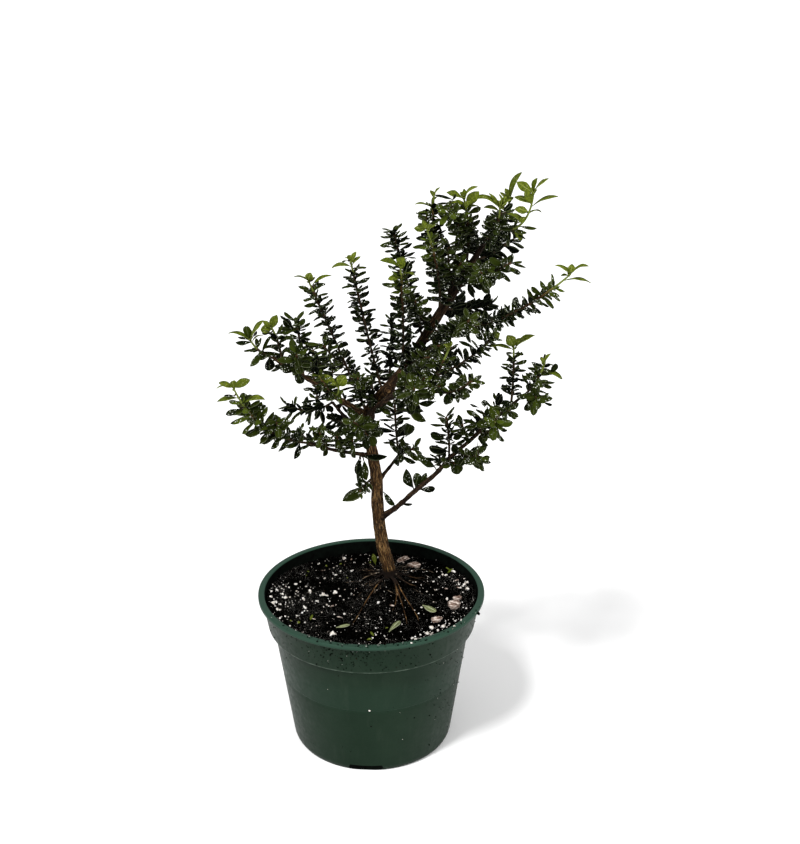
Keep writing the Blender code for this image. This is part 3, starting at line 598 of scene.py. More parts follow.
def makePerlite():
    luck = random.Random(perlitePlan["seed"])
    smallest = perlitePlan["smallest"]
    grains = Scatter()

    def drop(x, y, size):
        if math.hypot(x, y) > soilPlan["edgeRadius"] - size or not clearOfTrunk(x, y, 7):
            return
        stretch = (1, luck.uniform(0.65, 1), luck.uniform(0.55, 0.9))
        points, faces = roughGrain(luck, size, stretch, 2 if size > 1.4 else 1, 0.85)
        grains.add(points + np.array([x, y, soilTop(x, y) + size * 0.12]), faces)

    for chunk in perlitePlan["chunks"]:
        drop(*chunk)
    for x, y, spread, count, largest in perlitePlan["clumps"]:
        for _ in range(count):
            size = sizeBetween(luck, smallest, largest, 2.2)
            drop(luck.gauss(x, spread * 0.6), luck.gauss(y, spread * 0.6), size)
    for _ in range(perlitePlan["loose"]):
        drop(*somewhere(luck), sizeBetween(luck, smallest, perlitePlan["largestLoose"], 3))
    grains.piece("perlite", whiteGrain, "potting_soil")


whiteGrain = perliteWhite()
makePerlite()


crumbPlan = {
    "onSoil": 900, "onPot": 760, "onLip": 170, "smallest": 0.5, "largest": 2.6, "slim": 0.3, "seed": 77,
    # the radii of the lip's flat top, and the share of what stuck there and below it that is white
    "lip": (77.8, 82.4), "whiteOnLip": 0.15, "whiteBelow": 0.03,
    # the headings round the pot where most of it stuck, as (middle, scatter) in degrees
    "onLipAt": (-84, 28), "belowLipAt": (-98, 14), "onBodyAt": (-35, 22),
}


def crumbBrown():
    made = Finish("crumbBrown", Roughness=0.95, Specular_IOR_Level=0.0)
    kind = made.grain(0.25, 2.0)
    brown = made.ramp(kind, (0.45, (0.0003, 0.0002, 0.0002)), (0.68, (0.0014, 0.0010, 0.0008)),
                      (0.80, (0.035, 0.020, 0.012)))
    bump = made.relief(made.grain(3.0, 6.0, 0.7), 0.8, 0.4)
    return made.done(Base_Color=brown, Normal=bump)


def crumbBlack():
    made = Finish("crumbBlack", Roughness=0.95, Specular_IOR_Level=0.0)
    peat = made.ramp(made.grain(0.3, 2.0), (0.55, (0.0006, 0.0007, 0.0005)),
                     (0.72, (0.012, 0.007, 0.004)))
    return made.done(Base_Color=peat)


def makeCrumbs():
    luck = random.Random(crumbPlan["seed"])
    grains = Scatter()
    for _ in range(crumbPlan["onSoil"]):
        x, y = somewhere(luck, 1.2)
        size = sizeBetween(luck, crumbPlan["smallest"], crumbPlan["largest"], 2)
        slim = luck.random() < crumbPlan["slim"]
        stretch = (2.2, 0.5, 0.45) if slim else (1, luck.uniform(0.6, 0.9), luck.uniform(0.5, 0.8))
        points, faces = roughGrain(luck, size, stretch, 2 if size > 1.7 else 1, 0.7)
        grains.add(points + np.array([x, y, soilTop(x, y) + size * 0.1]), faces)
    grains.piece("soil_crumbs", crumbBrown(), "potting_soil")

    # what stuck to the pot when it was filled: most of it on the lip and below it, at the front
    stuck, white = Scatter(), Scatter()
    lipFoot = potPlan["height"] - potPlan["lipHeight"]
    bandSlope = (potPlan["bandTop"] - potPlan["bandBottom"]) / (lipFoot - 0.4 - potPlan["bandBottomZ"])

    def stick(heap, turn, r, z, size):
        points, faces = roughGrain(luck, size, (1, 0.8, 0.6), 1, 0.8)
        turn = math.radians(turn)
        heap.add(points + np.array([(r + 0.05) * math.cos(turn), (r + 0.05) * math.sin(turn), z]), faces)

    for k in range(crumbPlan["onPot"]):
        size = 0.35 + 1.0 * luck.random() ** 2.5
        if k % 10 < 7:
            turn = luck.gauss(*crumbPlan["belowLipAt"]) if k % 3 else luck.uniform(-170, -10)
            z = lipFoot - 0.5 - 19 * luck.random() ** 2
            r = potPlan["bandBottom"] + (z - potPlan["bandBottomZ"]) * bandSlope
        else:
            turn = luck.gauss(*crumbPlan["onBodyAt"]) if k % 2 else luck.uniform(0, 360)
            z = 91 - 84 * luck.random() ** 1.6
            r = bodyRadius(z)
        stick(white if luck.random() < crumbPlan["whiteBelow"] else stuck, turn, r, z, size)
    for _ in range(crumbPlan["onLip"]):
        size = 0.4 + 1.3 * luck.random() ** 2.5
        turn = luck.gauss(*crumbPlan["onLipAt"])
        heap = white if luck.random() < crumbPlan["whiteOnLip"] else stuck
        stick(heap, turn, luck.uniform(*crumbPlan["lip"]), potPlan["height"] + size * 0.1, size)
    # one white grain half way down and one lump on the lip's edge stand out
    stick(white, -90.3, bodyRadius(57), 57, 1.7)
    stick(stuck, -23, 82.6, 114.5, 4.0)
    stuck.piece("crumbs_on_pot", crumbBlack(), "potting_soil")
    white.piece("perlite_on_pot", whiteGrain, "potting_soil")


makeCrumbs()
print("perlite and crumbs strewn")


# The wood: trunk, limbs, surface roots and the collar of every spray, grown together

woodPlan = {
    "voxel": 0.54, "fissureDepth": 0.45, "fissurePitch": 0.8, "fissureStretch": 0.12,
    "lumps": 0.4, "flare": 0.55, "flareReach": 3.0, "settle": 4, "nodeEvery": 8.5, "nodeSwell": 0.22,
    # how old the trunk's bark is at each height
    "ageHeights": (190, 250, 300, 345), "agesThere": (1.0, 0.45, 0.36, 0.06),
    "knots": [((13, 10.5, 268), 4.7), ((-1, 14.5, 246), 4.6), ((6.5, 19.5, 158), 3.6),
              ((3, 23.5, 186), 3.4)],
}

trunkTable = [
    ((13, 25, 72), 3.0), ((13, 25, 100), 5.1), ((13, 25, 117), 4.9), ((8, 24, 140), 4.8),
    ((4.7, 22, 170), 4.6), ((4, 20, 194), 4.4), ((1, 18, 217), 4.1), ((-3, 17, 238), 3.8),
    ((0, 15, 252), 3.8), ((8, 13.5, 263), 3.7), ((17, 12, 273), 3.9), ((27, 10, 286), 3.8),
    ((35, 8, 301), 3.6), ((44, 7, 317), 3.4), ((52, 6, 330), 3.2), ((62, 5, 347), 2.7),
    ((70, 4, 361), 2.2), ((76, 3, 371), 1.8), ((83, 2, 381), 1.3),
]

limbTable = {
    "left_middle": (2.5, [(-2, 16, 244), (-8, 14, 250), (-19, 6, 260), (-30, -2, 271), (-41, -8, 281),
                          (-53, -13, 290), (-63, -17, 299)]),
    "left_low": (1.6, [(1, 18, 213), (-6, 14, 217), (-16, 8, 221), (-28, -3, 228), (-42, -14, 237)]),
    "left_back": (2.2, [(-1, 18, 224), (-7, 22, 230), (-13, 26, 235), (-21, 33, 241), (-28, 38, 248)]),
    "right_low": (2.1, [(6, 22, 163), (12, 18, 169), (20, 14, 177), (32, 7, 192), (46, 0, 208),
                        (57, -6, 224), (72, -12, 241), (79, -15, 251), (89, -19, 260), (100, -23, 272)]),
    "right_back_low": (1.5, [(4, 20, 190), (8, 26, 195), (14, 33, 200), (20, 40, 206)]),
    "front": (2.2, [(-3, 17, 240), (1, 10, 251), (8, 2, 260), (16, -10, 269), (29, -23, 276),
                    (45, -36, 282)]),
    "right_middle": (1.8, [(3, 14.5, 256), (12, 19, 260), (28, 27, 264), (48, 36, 269)]),
    "right_high": (1.6, [(35, 8, 301), (40, 3, 306), (48, -2, 311), (58, -9, 316)]),
}
limbEndRadius = 1.1

rootPlan = {
    # each root's heading round the trunk and its length
    "roots": [(249, 74), (272, 46), (282, 66), (291, 64), (172, 22), (7, 30), (335, 26), (215, 24),
              (50, 28), (95, 30), (135, 30)],
    # how pale the bark of the long ones is, by heading
    "pale": {249: 0.9, 272: 0.8, 282: 0.75, 291: 1.0},
    "thick": 0.7, "thin": 0.42, "dive": 9.0,
}

# Each spray leaves its limb near its base, passes a point half way and ends at its tip. Its side twigs
# start at a share of its length. "young" is the size of its pale tuft and "leaf" that of its dark leaves.
# "gap" is how far apart these are, and "fresh" how bright at the tip, which fades over "reach" pairs.
sprayTable = {
    "low_left": dict(limb="left_low", base=(-42, -14, 237), via=(-69, -32, 255), tip=(-87, -45, 288),
                     young=1.0, youngLength=14.0, gap=0.85, fresh=1.0, reach=15),
    "left_end": dict(limb="left_middle", base=(-63, -17, 299), via=(-72, -20, 305), tip=(-78, -22, 314),
                     young=1.0, gap=0.75),
    "left_first": dict(limb="left_middle", base=(-57, -15, 294), via=(-61, -10, 309),
                       tip=(-66, -9, 320), young=0.9),
    "left_second": dict(limb="left_middle", base=(-44, -10, 284), via=(-46, 2, 298), tip=(-50, 6, 318)),
    "left_front": dict(limb="left_middle", base=(-49, -12, 288), via=(-48, -25, 295),
                       tip=(-46, -37, 308)),
    "left_inner": dict(limb="left_middle", base=(-27, 0, 268), via=(-22, -11, 271), tip=(-20, -22, 281),
                       young=1.0, youngLength=14.0, leaf=0.6, fresh=0.9, twigs=[(0.3, (-33, -26, 290))]),
    "left_back": dict(limb="left_back", base=(-28, 38, 248), via=(-44, 45, 239), tip=(-62, 50, 241),
                      twigs=[(0.25, (-37, 54, 272))]),
    "tall_left": dict(limb="trunk", base=(-2, 16, 246), via=(-20, 28, 286), tip=(-42, 26, 341),
                      young=0.9, leaf=0.85, gap=0.75),
    "tall_middle": dict(limb="trunk", base=(9, 13, 264), via=(-1, 24, 300), tip=(-13, 30, 354),
                        young=0.9, leaf=0.85, gap=0.75),
    "tall_front": dict(limb="trunk", base=(21, 11, 279), via=(23, -5, 315), tip=(21, -14, 362),
                       young=1.1, leaf=0.9, gap=0.8, fresh=0.75),
    "tall_back": dict(limb="trunk", base=(37, 8, 304), via=(27, 30, 335), tip=(16, 44, 371), leaf=0.85,
                      gap=0.75),
    "crown_left": dict(limb="trunk", base=(47, 7, 322), via=(46, -8, 352), tip=(38, -18, 386),
                       young=0.9, leaf=0.85, gap=0.75, fresh=0.95),
    "crown_back": dict(limb="trunk", base=(55, 6, 335), via=(45, 25, 367), tip=(44, 34, 398), young=0.9,
                       leaf=0.85, gap=0.75, fresh=0.75),
    "crown_middle": dict(limb="trunk", base=(64, 5, 351), via=(66, 5, 378), tip=(62, -2, 403),
                         young=1.0, leaf=0.85, gap=0.75, fresh=1.0, twigs=[(0.4, (50, -16, 399))]),
    "crown_right": dict(limb="trunk", base=(74, 3, 368), via=(82, -12, 383), tip=(84, -22, 401),
                        young=1.0, leaf=0.85, gap=0.75),
    "crown_top": dict(limb="trunk", base=(79, 2, 376), via=(88, 13, 386), tip=(94, 17, 398), young=0.95,
                      leaf=0.85, gap=0.75),
    "apex": dict(limb="trunk", base=(83, 2, 381), via=(100, -2, 386), tip=(107, -4, 407), young=1.0,
                 youngLength=29.0),
    "crown_front": dict(limb="trunk", base=(59, 5, 342), via=(76, -13, 354), tip=(92, -27, 366),
                        twigs=[(0.35, (72, -34, 362))]),
    "crown_outer": dict(limb="trunk", base=(69, 4, 360), via=(82, 16, 362), tip=(98, 28, 369),
                        twigs=[(0.3, (72, 56, 366))]),
    "middle_back": dict(limb="trunk", base=(50, 6, 327), via=(67, 22, 322), tip=(84, 34, 322),
                        twigs=[(0.35, (58, 62, 318))]),
    "middle_front": dict(limb="trunk", base=(42, 7, 313), via=(53, -21, 318), tip=(65, -46, 334),
                         leaf=0.85),
    "right_high": dict(limb="right_high", base=(58, -9, 316), via=(94, -27, 333), tip=(129, -36, 361),
                       young=0.95, youngLength=14.0, leaf=0.92, gap=0.75, fresh=0.8),
    "right_middle": dict(limb="right_middle", base=(48, 36, 269), via=(69, 45, 278), tip=(89, 53, 292),
                         young=0.8, twigs=[(0.2, (48, 70, 282))]),
    "front_end": dict(limb="front", base=(45, -36, 282), via=(56, -46, 286), tip=(67, -54, 296),
                      leaf=0.85),
    "front_first": dict(limb="front", base=(38, -31, 279), via=(46, -31, 294), tip=(53, -30, 310),
                        young=0.7),
    "front_inner": dict(limb="front", base=(22, -17, 273), via=(28, -36, 278), tip=(30, -54, 291)),
    "right_low_end": dict(limb="right_low", base=(100, -23, 272), via=(110, -26, 284),
                          tip=(116, -28, 300), young=0.7, twigs=[(0.15, (109, -44, 281))]),
    "right_low_upright": dict(limb="right_low", base=(95, -21, 267), via=(97, -14, 284),
                              tip=(97, -9, 305), young=1.1, leaf=0.85, gap=0.75),
    "right_low_first": dict(limb="right_low", base=(55, -5, 221), via=(55, 0, 235), tip=(53, 5, 249),
                            leaf=1.0),
    "right_low_back": dict(limb="right_low", base=(70, -11, 239), via=(80, 4, 245), tip=(90, 16, 255),
                           leaf=1.0),
    "right_low_front": dict(limb="right_low", base=(84, -17, 255), via=(83, -31, 257),
                            tip=(83, -45, 265), leaf=0.95, fresh=0.9),
    "right_low_under": dict(limb="right_low", base=(61, -8, 228), via=(66, -22, 231),
                            tip=(73, -36, 237), leaf=0.95),
    "low_back": dict(limb="right_back_low", base=(20, 40, 206), via=(18, 54, 220), tip=(17, 64, 240),
                     leaf=1.1, gap=1.2),
    "inner_back": dict(limb="trunk", base=(13, 12.5, 269), via=(14, 42, 278), tip=(15, 70, 300),
                       leaf=0.8),
    "inner_front": dict(limb="trunk", base=(-2, 17, 234), via=(-5, -3, 242), tip=(-10, -22, 256),
                        leaf=1.15, gap=1.7),
    "trunk_twig": dict(limb="trunk", base=(3, 19, 199), via=(-3, 13, 195), tip=(-8, 7, 191), leaf=0.6),
}

stemPlan = {"radius": 0.85, "twigRadius": 0.7, "youngLength": 8.5, "sides": 8, "nodeSwell": 0.14}


def trunkRadii(route):
    knots = [Vector(p) for p, _ in trunkTable]
    marks = [routeLength(knots[: i + 1]) for i in range(len(knots))]
    sizes = [r for _, r in trunkTable]
    return [float(np.interp(nearestOn(knots, point), marks, sizes)) for point in route]


def tapered(count, first, last):
    return [first + (last - first) * i / (count - 1) for i in range(count)]


def flared(route, radii):
    # a limb widens where it leaves its parent, and stays a little uneven
    walked, sizes = 0.0, []
    for i, radius in enumerate(radii):
        walked += (route[i] - route[i - 1]).length if i else 0.0
        swell = woodPlan["flare"] * math.exp(-max(0.0, walked - 3.0) / woodPlan["flareReach"])
        uneven = 0.1 * noise.noise(Vector((walked * 0.22, radii[0] * 9, 3.7)))
        joint = math.cos(math.pi * walked / woodPlan["nodeEvery"]) ** 16 * woodPlan["nodeSwell"]
        sizes.append(radius * (1 + swell + uneven + joint))
    return sizes


def rootRoute(angle, length):
    luck = random.Random(angle)
    sway = luck.uniform(-0.12, 0.12) * length
    out = towards(math.radians(angle))
    side = Vector((-out.y, out.x, 0))
    foot = Vector((*soilPlan["trunkAt"], 0))
    points = [Vector((*soilPlan["trunkAt"], 113.0))]
    for share in (0.16, 0.4, 0.7, 0.9):
        place = foot + out * length * share + side * sway * math.sin(math.pi * share)
        lift = 2.6 * (1 - share) ** 2 + 0.4 - 1.0 * share
        points.append(Vector((place.x, place.y, soilHeight(place.x, place.y) + lift)))
    end = foot + out * length
    points.append(Vector((end.x, end.y, soilPlan["edgeZ"] - rootPlan["dive"])))
    return smoothRoute(points, 2.0)


def limbRoutes():
    route = smoothRoute([p for p, _ in trunkTable], 2.0)
    found = {"trunk": (route, trunkRadii(route))}
    for name, (radius, points) in limbTable.items():
        line = smoothRoute(points, 2.0)
        found[name] = (line, tapered(len(line), radius, limbEndRadius))
    return found


def sprayRoutes(limbs):
    # for each spray: its collar on the limb, its leafy stem and its young tip
    found = {}
    for name, spray in sprayTable.items():
        limb, radii = limbs[spray["limb"]]
        mark = nearestOn(limb, Vector(spray["base"]))
        start, along = pointAt(limb, mark)
        line = arcThrough(start, Vector(spray["via"]), Vector(spray["tip"]), 2.0)
        lean = along.angle((line[5] - line[0]).normalized())
        nearest = min(range(len(limb)), key=lambda i: (limb[i] - start).length)
        clear = (radii[nearest] + stemPlan["radius"] + 0.8) / max(0.3, math.sin(lean))
        collar = 4.0 if mark > routeLength(limb) - 1.0 else max(4.0, clear)
        total = routeLength(line)
        youngLength = spray.get("youngLength", stemPlan["youngLength"]) if "young" in spray else 0.0
        leafyEnd = total - youngLength
        leafy = partOf(line, collar - 0.4, leafyEnd)
        twigs = []
        for share, end in spray.get("twigs", []):
            start, direction = pointAt(leafy, share * routeLength(leafy))
            via = (start + Vector(end)) / 2 + direction * 3 - up * 2.5
            twigs.append(arcThrough(start, via, Vector(end), 2.0))
        young = partOf(line, leafyEnd - 0.4, total) if "young" in spray else []
        found[name] = {"collar": partOf(line, 0, collar), "leafy": leafy, "young": young, "twigs": twigs}
    return found


limbs = limbRoutes()
sprays = sprayRoutes(limbs)


def barkBrown():
    made = Finish("barkBrown", Specular_IOR_Level=0.1)
    along = made.noted("grainAt")["Vector"]
    crack = made.noted("crack")["Fac"]
    age = made.noted("age")["Fac"]
    wisps = made.grain(1.7, 6.0, 0.65, made.stretched(1, 1, 0.09, along))
    strings = made.grain(1.4, 3.0, 0.55, made.stretched(1, 1, 0.07, along))
    furrow = made.ramp(strings, (0.42, 1.0), (0.485, 0.0))
    drawn = made.stretched(1.2, 1.2, 0.12, along)
    wander = made.node("TexNoise", None, Vector=along, Scale=0.5).outputs["Color"]
    warped = made.node("VectorMath", {"operation": "ADD"}, _0=drawn,
                       _1=made.stretched(0.9, 0.9, 0.9, wander)).outputs[0]
    seams = made.ramp(made.cells(0.75, warped, "DISTANCE_TO_EDGE")["Distance"], (0.03, 1.0), (0.13, 0.0))
    old = made.ramp(wisps, (0.33, (0.026, 0.010, 0.003)), (0.49, (0.098, 0.045, 0.013)),
                    (0.65, (0.45, 0.275, 0.110)))
    slim = made.ramp(wisps, (0.34, (0.003, 0.002, 0.002)), (0.55, (0.011, 0.006, 0.004)),
                     (0.8, (0.058, 0.035, 0.022)))
    bark = made.mix(age, slim, old)
    stains = made.ramp(made.grain(0.09, 3.0), (0.45, 0.0), (0.75, 0.4))
    bark = made.mix(stains, bark, (0.050, 0.026, 0.014))
    bark = made.mix(made.times(furrow, 0.85), bark, (0.005, 0.0028, 0.0015))
    bark = made.mix(made.times(seams, 0.7), bark, (0.004, 0.0024, 0.0012))
    bark = made.mix(crack, bark, (0.004, 0.0022, 0.0012))
    ridges = made.relief(made.ramp(strings, (0.38, 0.0), (0.62, 1.0)), 0.9, 0.6)
    fibres = made.relief(made.grain(2.8, 6.0, 0.7, made.stretched(1, 1, 0.12, along)), 0.7, 0.3, ridges)
    rough = made.ramp(wisps, (0.3, 0.95), (0.8, 0.7))
    return made.done(Base_Color=bark, Normal=fibres, Roughness=rough)


def makeWood():
    tubes, samples = Scatter(), []

    def grow(route, radii, sides, age):
        tubes.add(*sweep(route, radii, sides))
        walked = 0.0
        for i, (centre, radius) in enumerate(zip(route, radii)):
            walked += (centre - route[i - 1]).length if i else 0.0
            ahead = (route[min(i + 1, len(route) - 1)] - route[max(i - 1, 0)]).normalized()
            samples.append((centre, ahead, walked, radius, age))

    route, radii = limbs["trunk"]
    grow(route, radii, 28, 1.0)
    trunkEnd = len(samples)
    for name, (line, sizes) in limbs.items():
        if name != "trunk":
            grow(line, flared(line, sizes), 18, 0.5 if name == "left_middle" else 0.14)
    for angle, length in rootPlan["roots"]:
        line = rootRoute(angle, length)
        count = len(line)
        sizes = [rootPlan["thick"] + (rootPlan["thin"] - rootPlan["thick"]) * (i / (count - 1)) ** 0.7
                 for i in range(count)]
        grow(line, [s * (1 + 1.2 * math.exp(-i / 2.5)) for i, s in enumerate(sizes)], 12,
             rootPlan["pale"].get(angle, 0.3))
    for parts in sprays.values():
        line = parts["collar"]
        grow(line, tapered(len(line), stemPlan["radius"] * 1.25, stemPlan["radius"] * 1.05), 12, 0.1)
    for place, size in woodPlan["knots"]:
        points, faces = ballShapes[3]
        tubes.add(points * size + np.array(place), faces)

    wood = buildMesh("trunk_limbs_and_roots", np.concatenate(tubes.points), tubes.faces, [barkBrown()])
    skin = wood.modifiers.new("one skin", "REMESH")
    skin.mode, skin.voxel_size = "VOXEL", woodPlan["voxel"] * mm
    ease = wood.modifiers.new("ease", "SMOOTH")
    ease.factor, ease.iterations = 0.5, woodPlan["settle"]
    mesh = bpy.data.meshes.new_from_object(wood.evaluated_get(bpy.context.evaluated_depsgraph_get()))
    wood.modifiers.clear()
    wood.data = mesh

    tree = kdtree.KDTree(len(samples))
    for i, sample in enumerate(samples):
        tree.insert(sample[0], i)
    tree.balance()
    count = len(mesh.vertices)
    spots, normals = np.zeros(count * 3), np.zeros(count * 3)
    mesh.vertices.foreach_get("co", spots)
    mesh.vertices.foreach_get("normal", normals)
    spots, normals = spots.reshape(-1, 3) / mm, normals.reshape(-1, 3)
    grainAt = np.zeros((count, 3))
    cracks, ages, depths = np.zeros((3, count))
    stretch = woodPlan["fissureStretch"]
    for k in range(count):
        spot = Vector(spots[k])
        near = min(tree.find_n(spot, 8), key=lambda found: found[2] - samples[found[1]][3])
        centre, ahead, walked, radius, age = samples[near[1]]
        out = spot - centre
        walked += out.dot(ahead)
        out -= ahead * out.dot(ahead)
        at = Vector((out.x, out.y, 0)) + Vector((out.z * 0.6, 0, walked))
        where = Vector((at.x, at.y, at.z * stretch)) * woodPlan["fissurePitch"]
        winding = noise.noise(where * 2.1 + Vector((7, 3, 1))) * 0.3
        ridge = abs(noise.noise(where * 1.55) + winding * 0.4)
        crack = max(0.0, 1 - ridge / 0.13)
        bold = min(1.0, max(0.0, (radius - 1.3) / 2.2))
        lump = noise.noise(spot * 0.16) * woodPlan["lumps"] * min(1.0, radius / 4)
        depths[k] = lump - crack * bold * woodPlan["fissureDepth"]
        grainAt[k] = (at.x, at.y, at.z)
        cracks[k] = crack * (0.25 + 0.75 * bold)
        if near[1] < trunkEnd:
            age = np.interp(spot.z, woodPlan["ageHeights"], woodPlan["agesThere"])
        # the crown of the roots, low and near the trunk, is darker
        away = math.hypot(spot.x - soilPlan["trunkAt"][0], spot.y - soilPlan["trunkAt"][1])
        ages[k] = age * max(smoothStep(118, 123, spot.z), smoothStep(13, 21, away))
    mesh.vertices.foreach_set("co", ((spots + normals * depths[:, None]) * mm).ravel())
    noteOnPoints(wood, "grainAt", "FLOAT_VECTOR", grainAt)
    noteOnPoints(wood, "crack", "FLOAT", cracks)
    noteOnPoints(wood, "age", "FLOAT", ages)
    mesh.polygons.foreach_set("use_smooth", [True] * len(mesh.polygons))
    setInPlace(wood, "bark", "trunk_and_limbs")
    return len(mesh.polygons)


print("wood grown with", makeWood(), "faces")


rootletPlan = {"count": 60, "radius": 0.17, "seed": 19}


def rootletTan():
    made = Finish("rootletTan", Specular_IOR_Level=0.15, Roughness=0.8)
    tan = made.ramp(made.grain(0.25, 4.0), (0.42, (0.004, 0.003, 0.002)), (0.55, (0.036, 0.023, 0.014)),
                    (0.68, (0.34, 0.27, 0.19)))
    return made.done(Base_Color=tan)


def makeRootlets():
    luck = random.Random(rootletPlan["seed"])
    threads = Scatter()
    foot = Vector((*soilPlan["trunkAt"], 0))
    for _ in range(rootletPlan["count"]):
        turn = luck.uniform(0, math.tau)
        heading = turn + luck.gauss(0, 0.7)
        start = foot + towards(turn) * luck.uniform(4, 26)
        length = luck.uniform(5, 19)
        end = start + towards(heading) * length
        side = Vector((-math.sin(heading), math.cos(heading), 0))
        via = (start + end) / 2 + side * luck.uniform(-0.2, 0.2) * length
        for point, lift in ((start, 1.2), (via, luck.uniform(0.6, 2.2)), (end, -0.3)):
            point.z = soilTop(point.x, point.y) + lift
        line = arcThrough(start, via, end, 1.2)
        size = rootletPlan["radius"] * luck.uniform(0.6, 1.3)
        threads.add(*sweep(line, tapered(len(line), size, size * 0.5), 5))
    threads.piece("fine_rootlets", rootletTan(), "bark")


makeRootlets()


# Leaves

leafPlan = {
    "rows": 7, "columns": 4, "length": 12.4, "width": 0.43, "bulge": 1.25, "blunt": 0.6,
    "spacing": 2.8, "spreadOut": 0.18, "turn": 93.0, "bare": 2.0, "petiole": 0.09, "thickness": 0.36,
    "fold": -0.3, "margin": 0.35, "lift": 12.0, "droop": 42.0, "roll": 18.0,
    # how many axils hold smaller leaves, how small, and how much rise the leaves of a level stem keep
    "axil": 0.85, "axilSize": 0.62, "level": 0.45,
}
youngPlan = {
    "rows": 12, "columns": 6, "length": 15.0, "width": 0.42, "bulge": 1.12, "blunt": 0.74,
    "petiole": 0.08, "thickness": 0.42, "fold": 0.4, "margin": 0.3, "lift": 8.0, "droop": 62.0,
    "roll": 8.0,
}


def leafGrid(rows, columns):
    # along and across of every point of a leaf, and the faces of its upper and under sides and edges
    even = np.linspace(0, 1, rows + 1)
    along = np.repeat(even * 0.45 + (1 - np.cos(even * np.pi)) / 2 * 0.55, columns + 1)
    across = np.tile(np.linspace(-1, 1, columns + 1), rows + 1)
    wide, half = columns + 1, (rows + 1) * (columns + 1)
    faces = []
    for r in range(rows):
        for c in range(columns):
            a, b = r * wide + c, (r + 1) * wide + c
            faces.append((a, b, b + 1, a + 1))
            faces.append((half + a + 1, half + b + 1, half + b, half + a))
        near, far = r * wide, (r + 1) * wide
        faces.append((near, near + half, far + half, far))
        near, far = near + columns, far + columns
        faces.append((far, far + half, near + half, near))
    for c in range(columns):
        faces.append((c + 1, c + 1 + half, c + half, c))
        end = rows * wide + c
        faces.append((end, end + half, end + 1 + half, end + 1))
    return along, across, faces


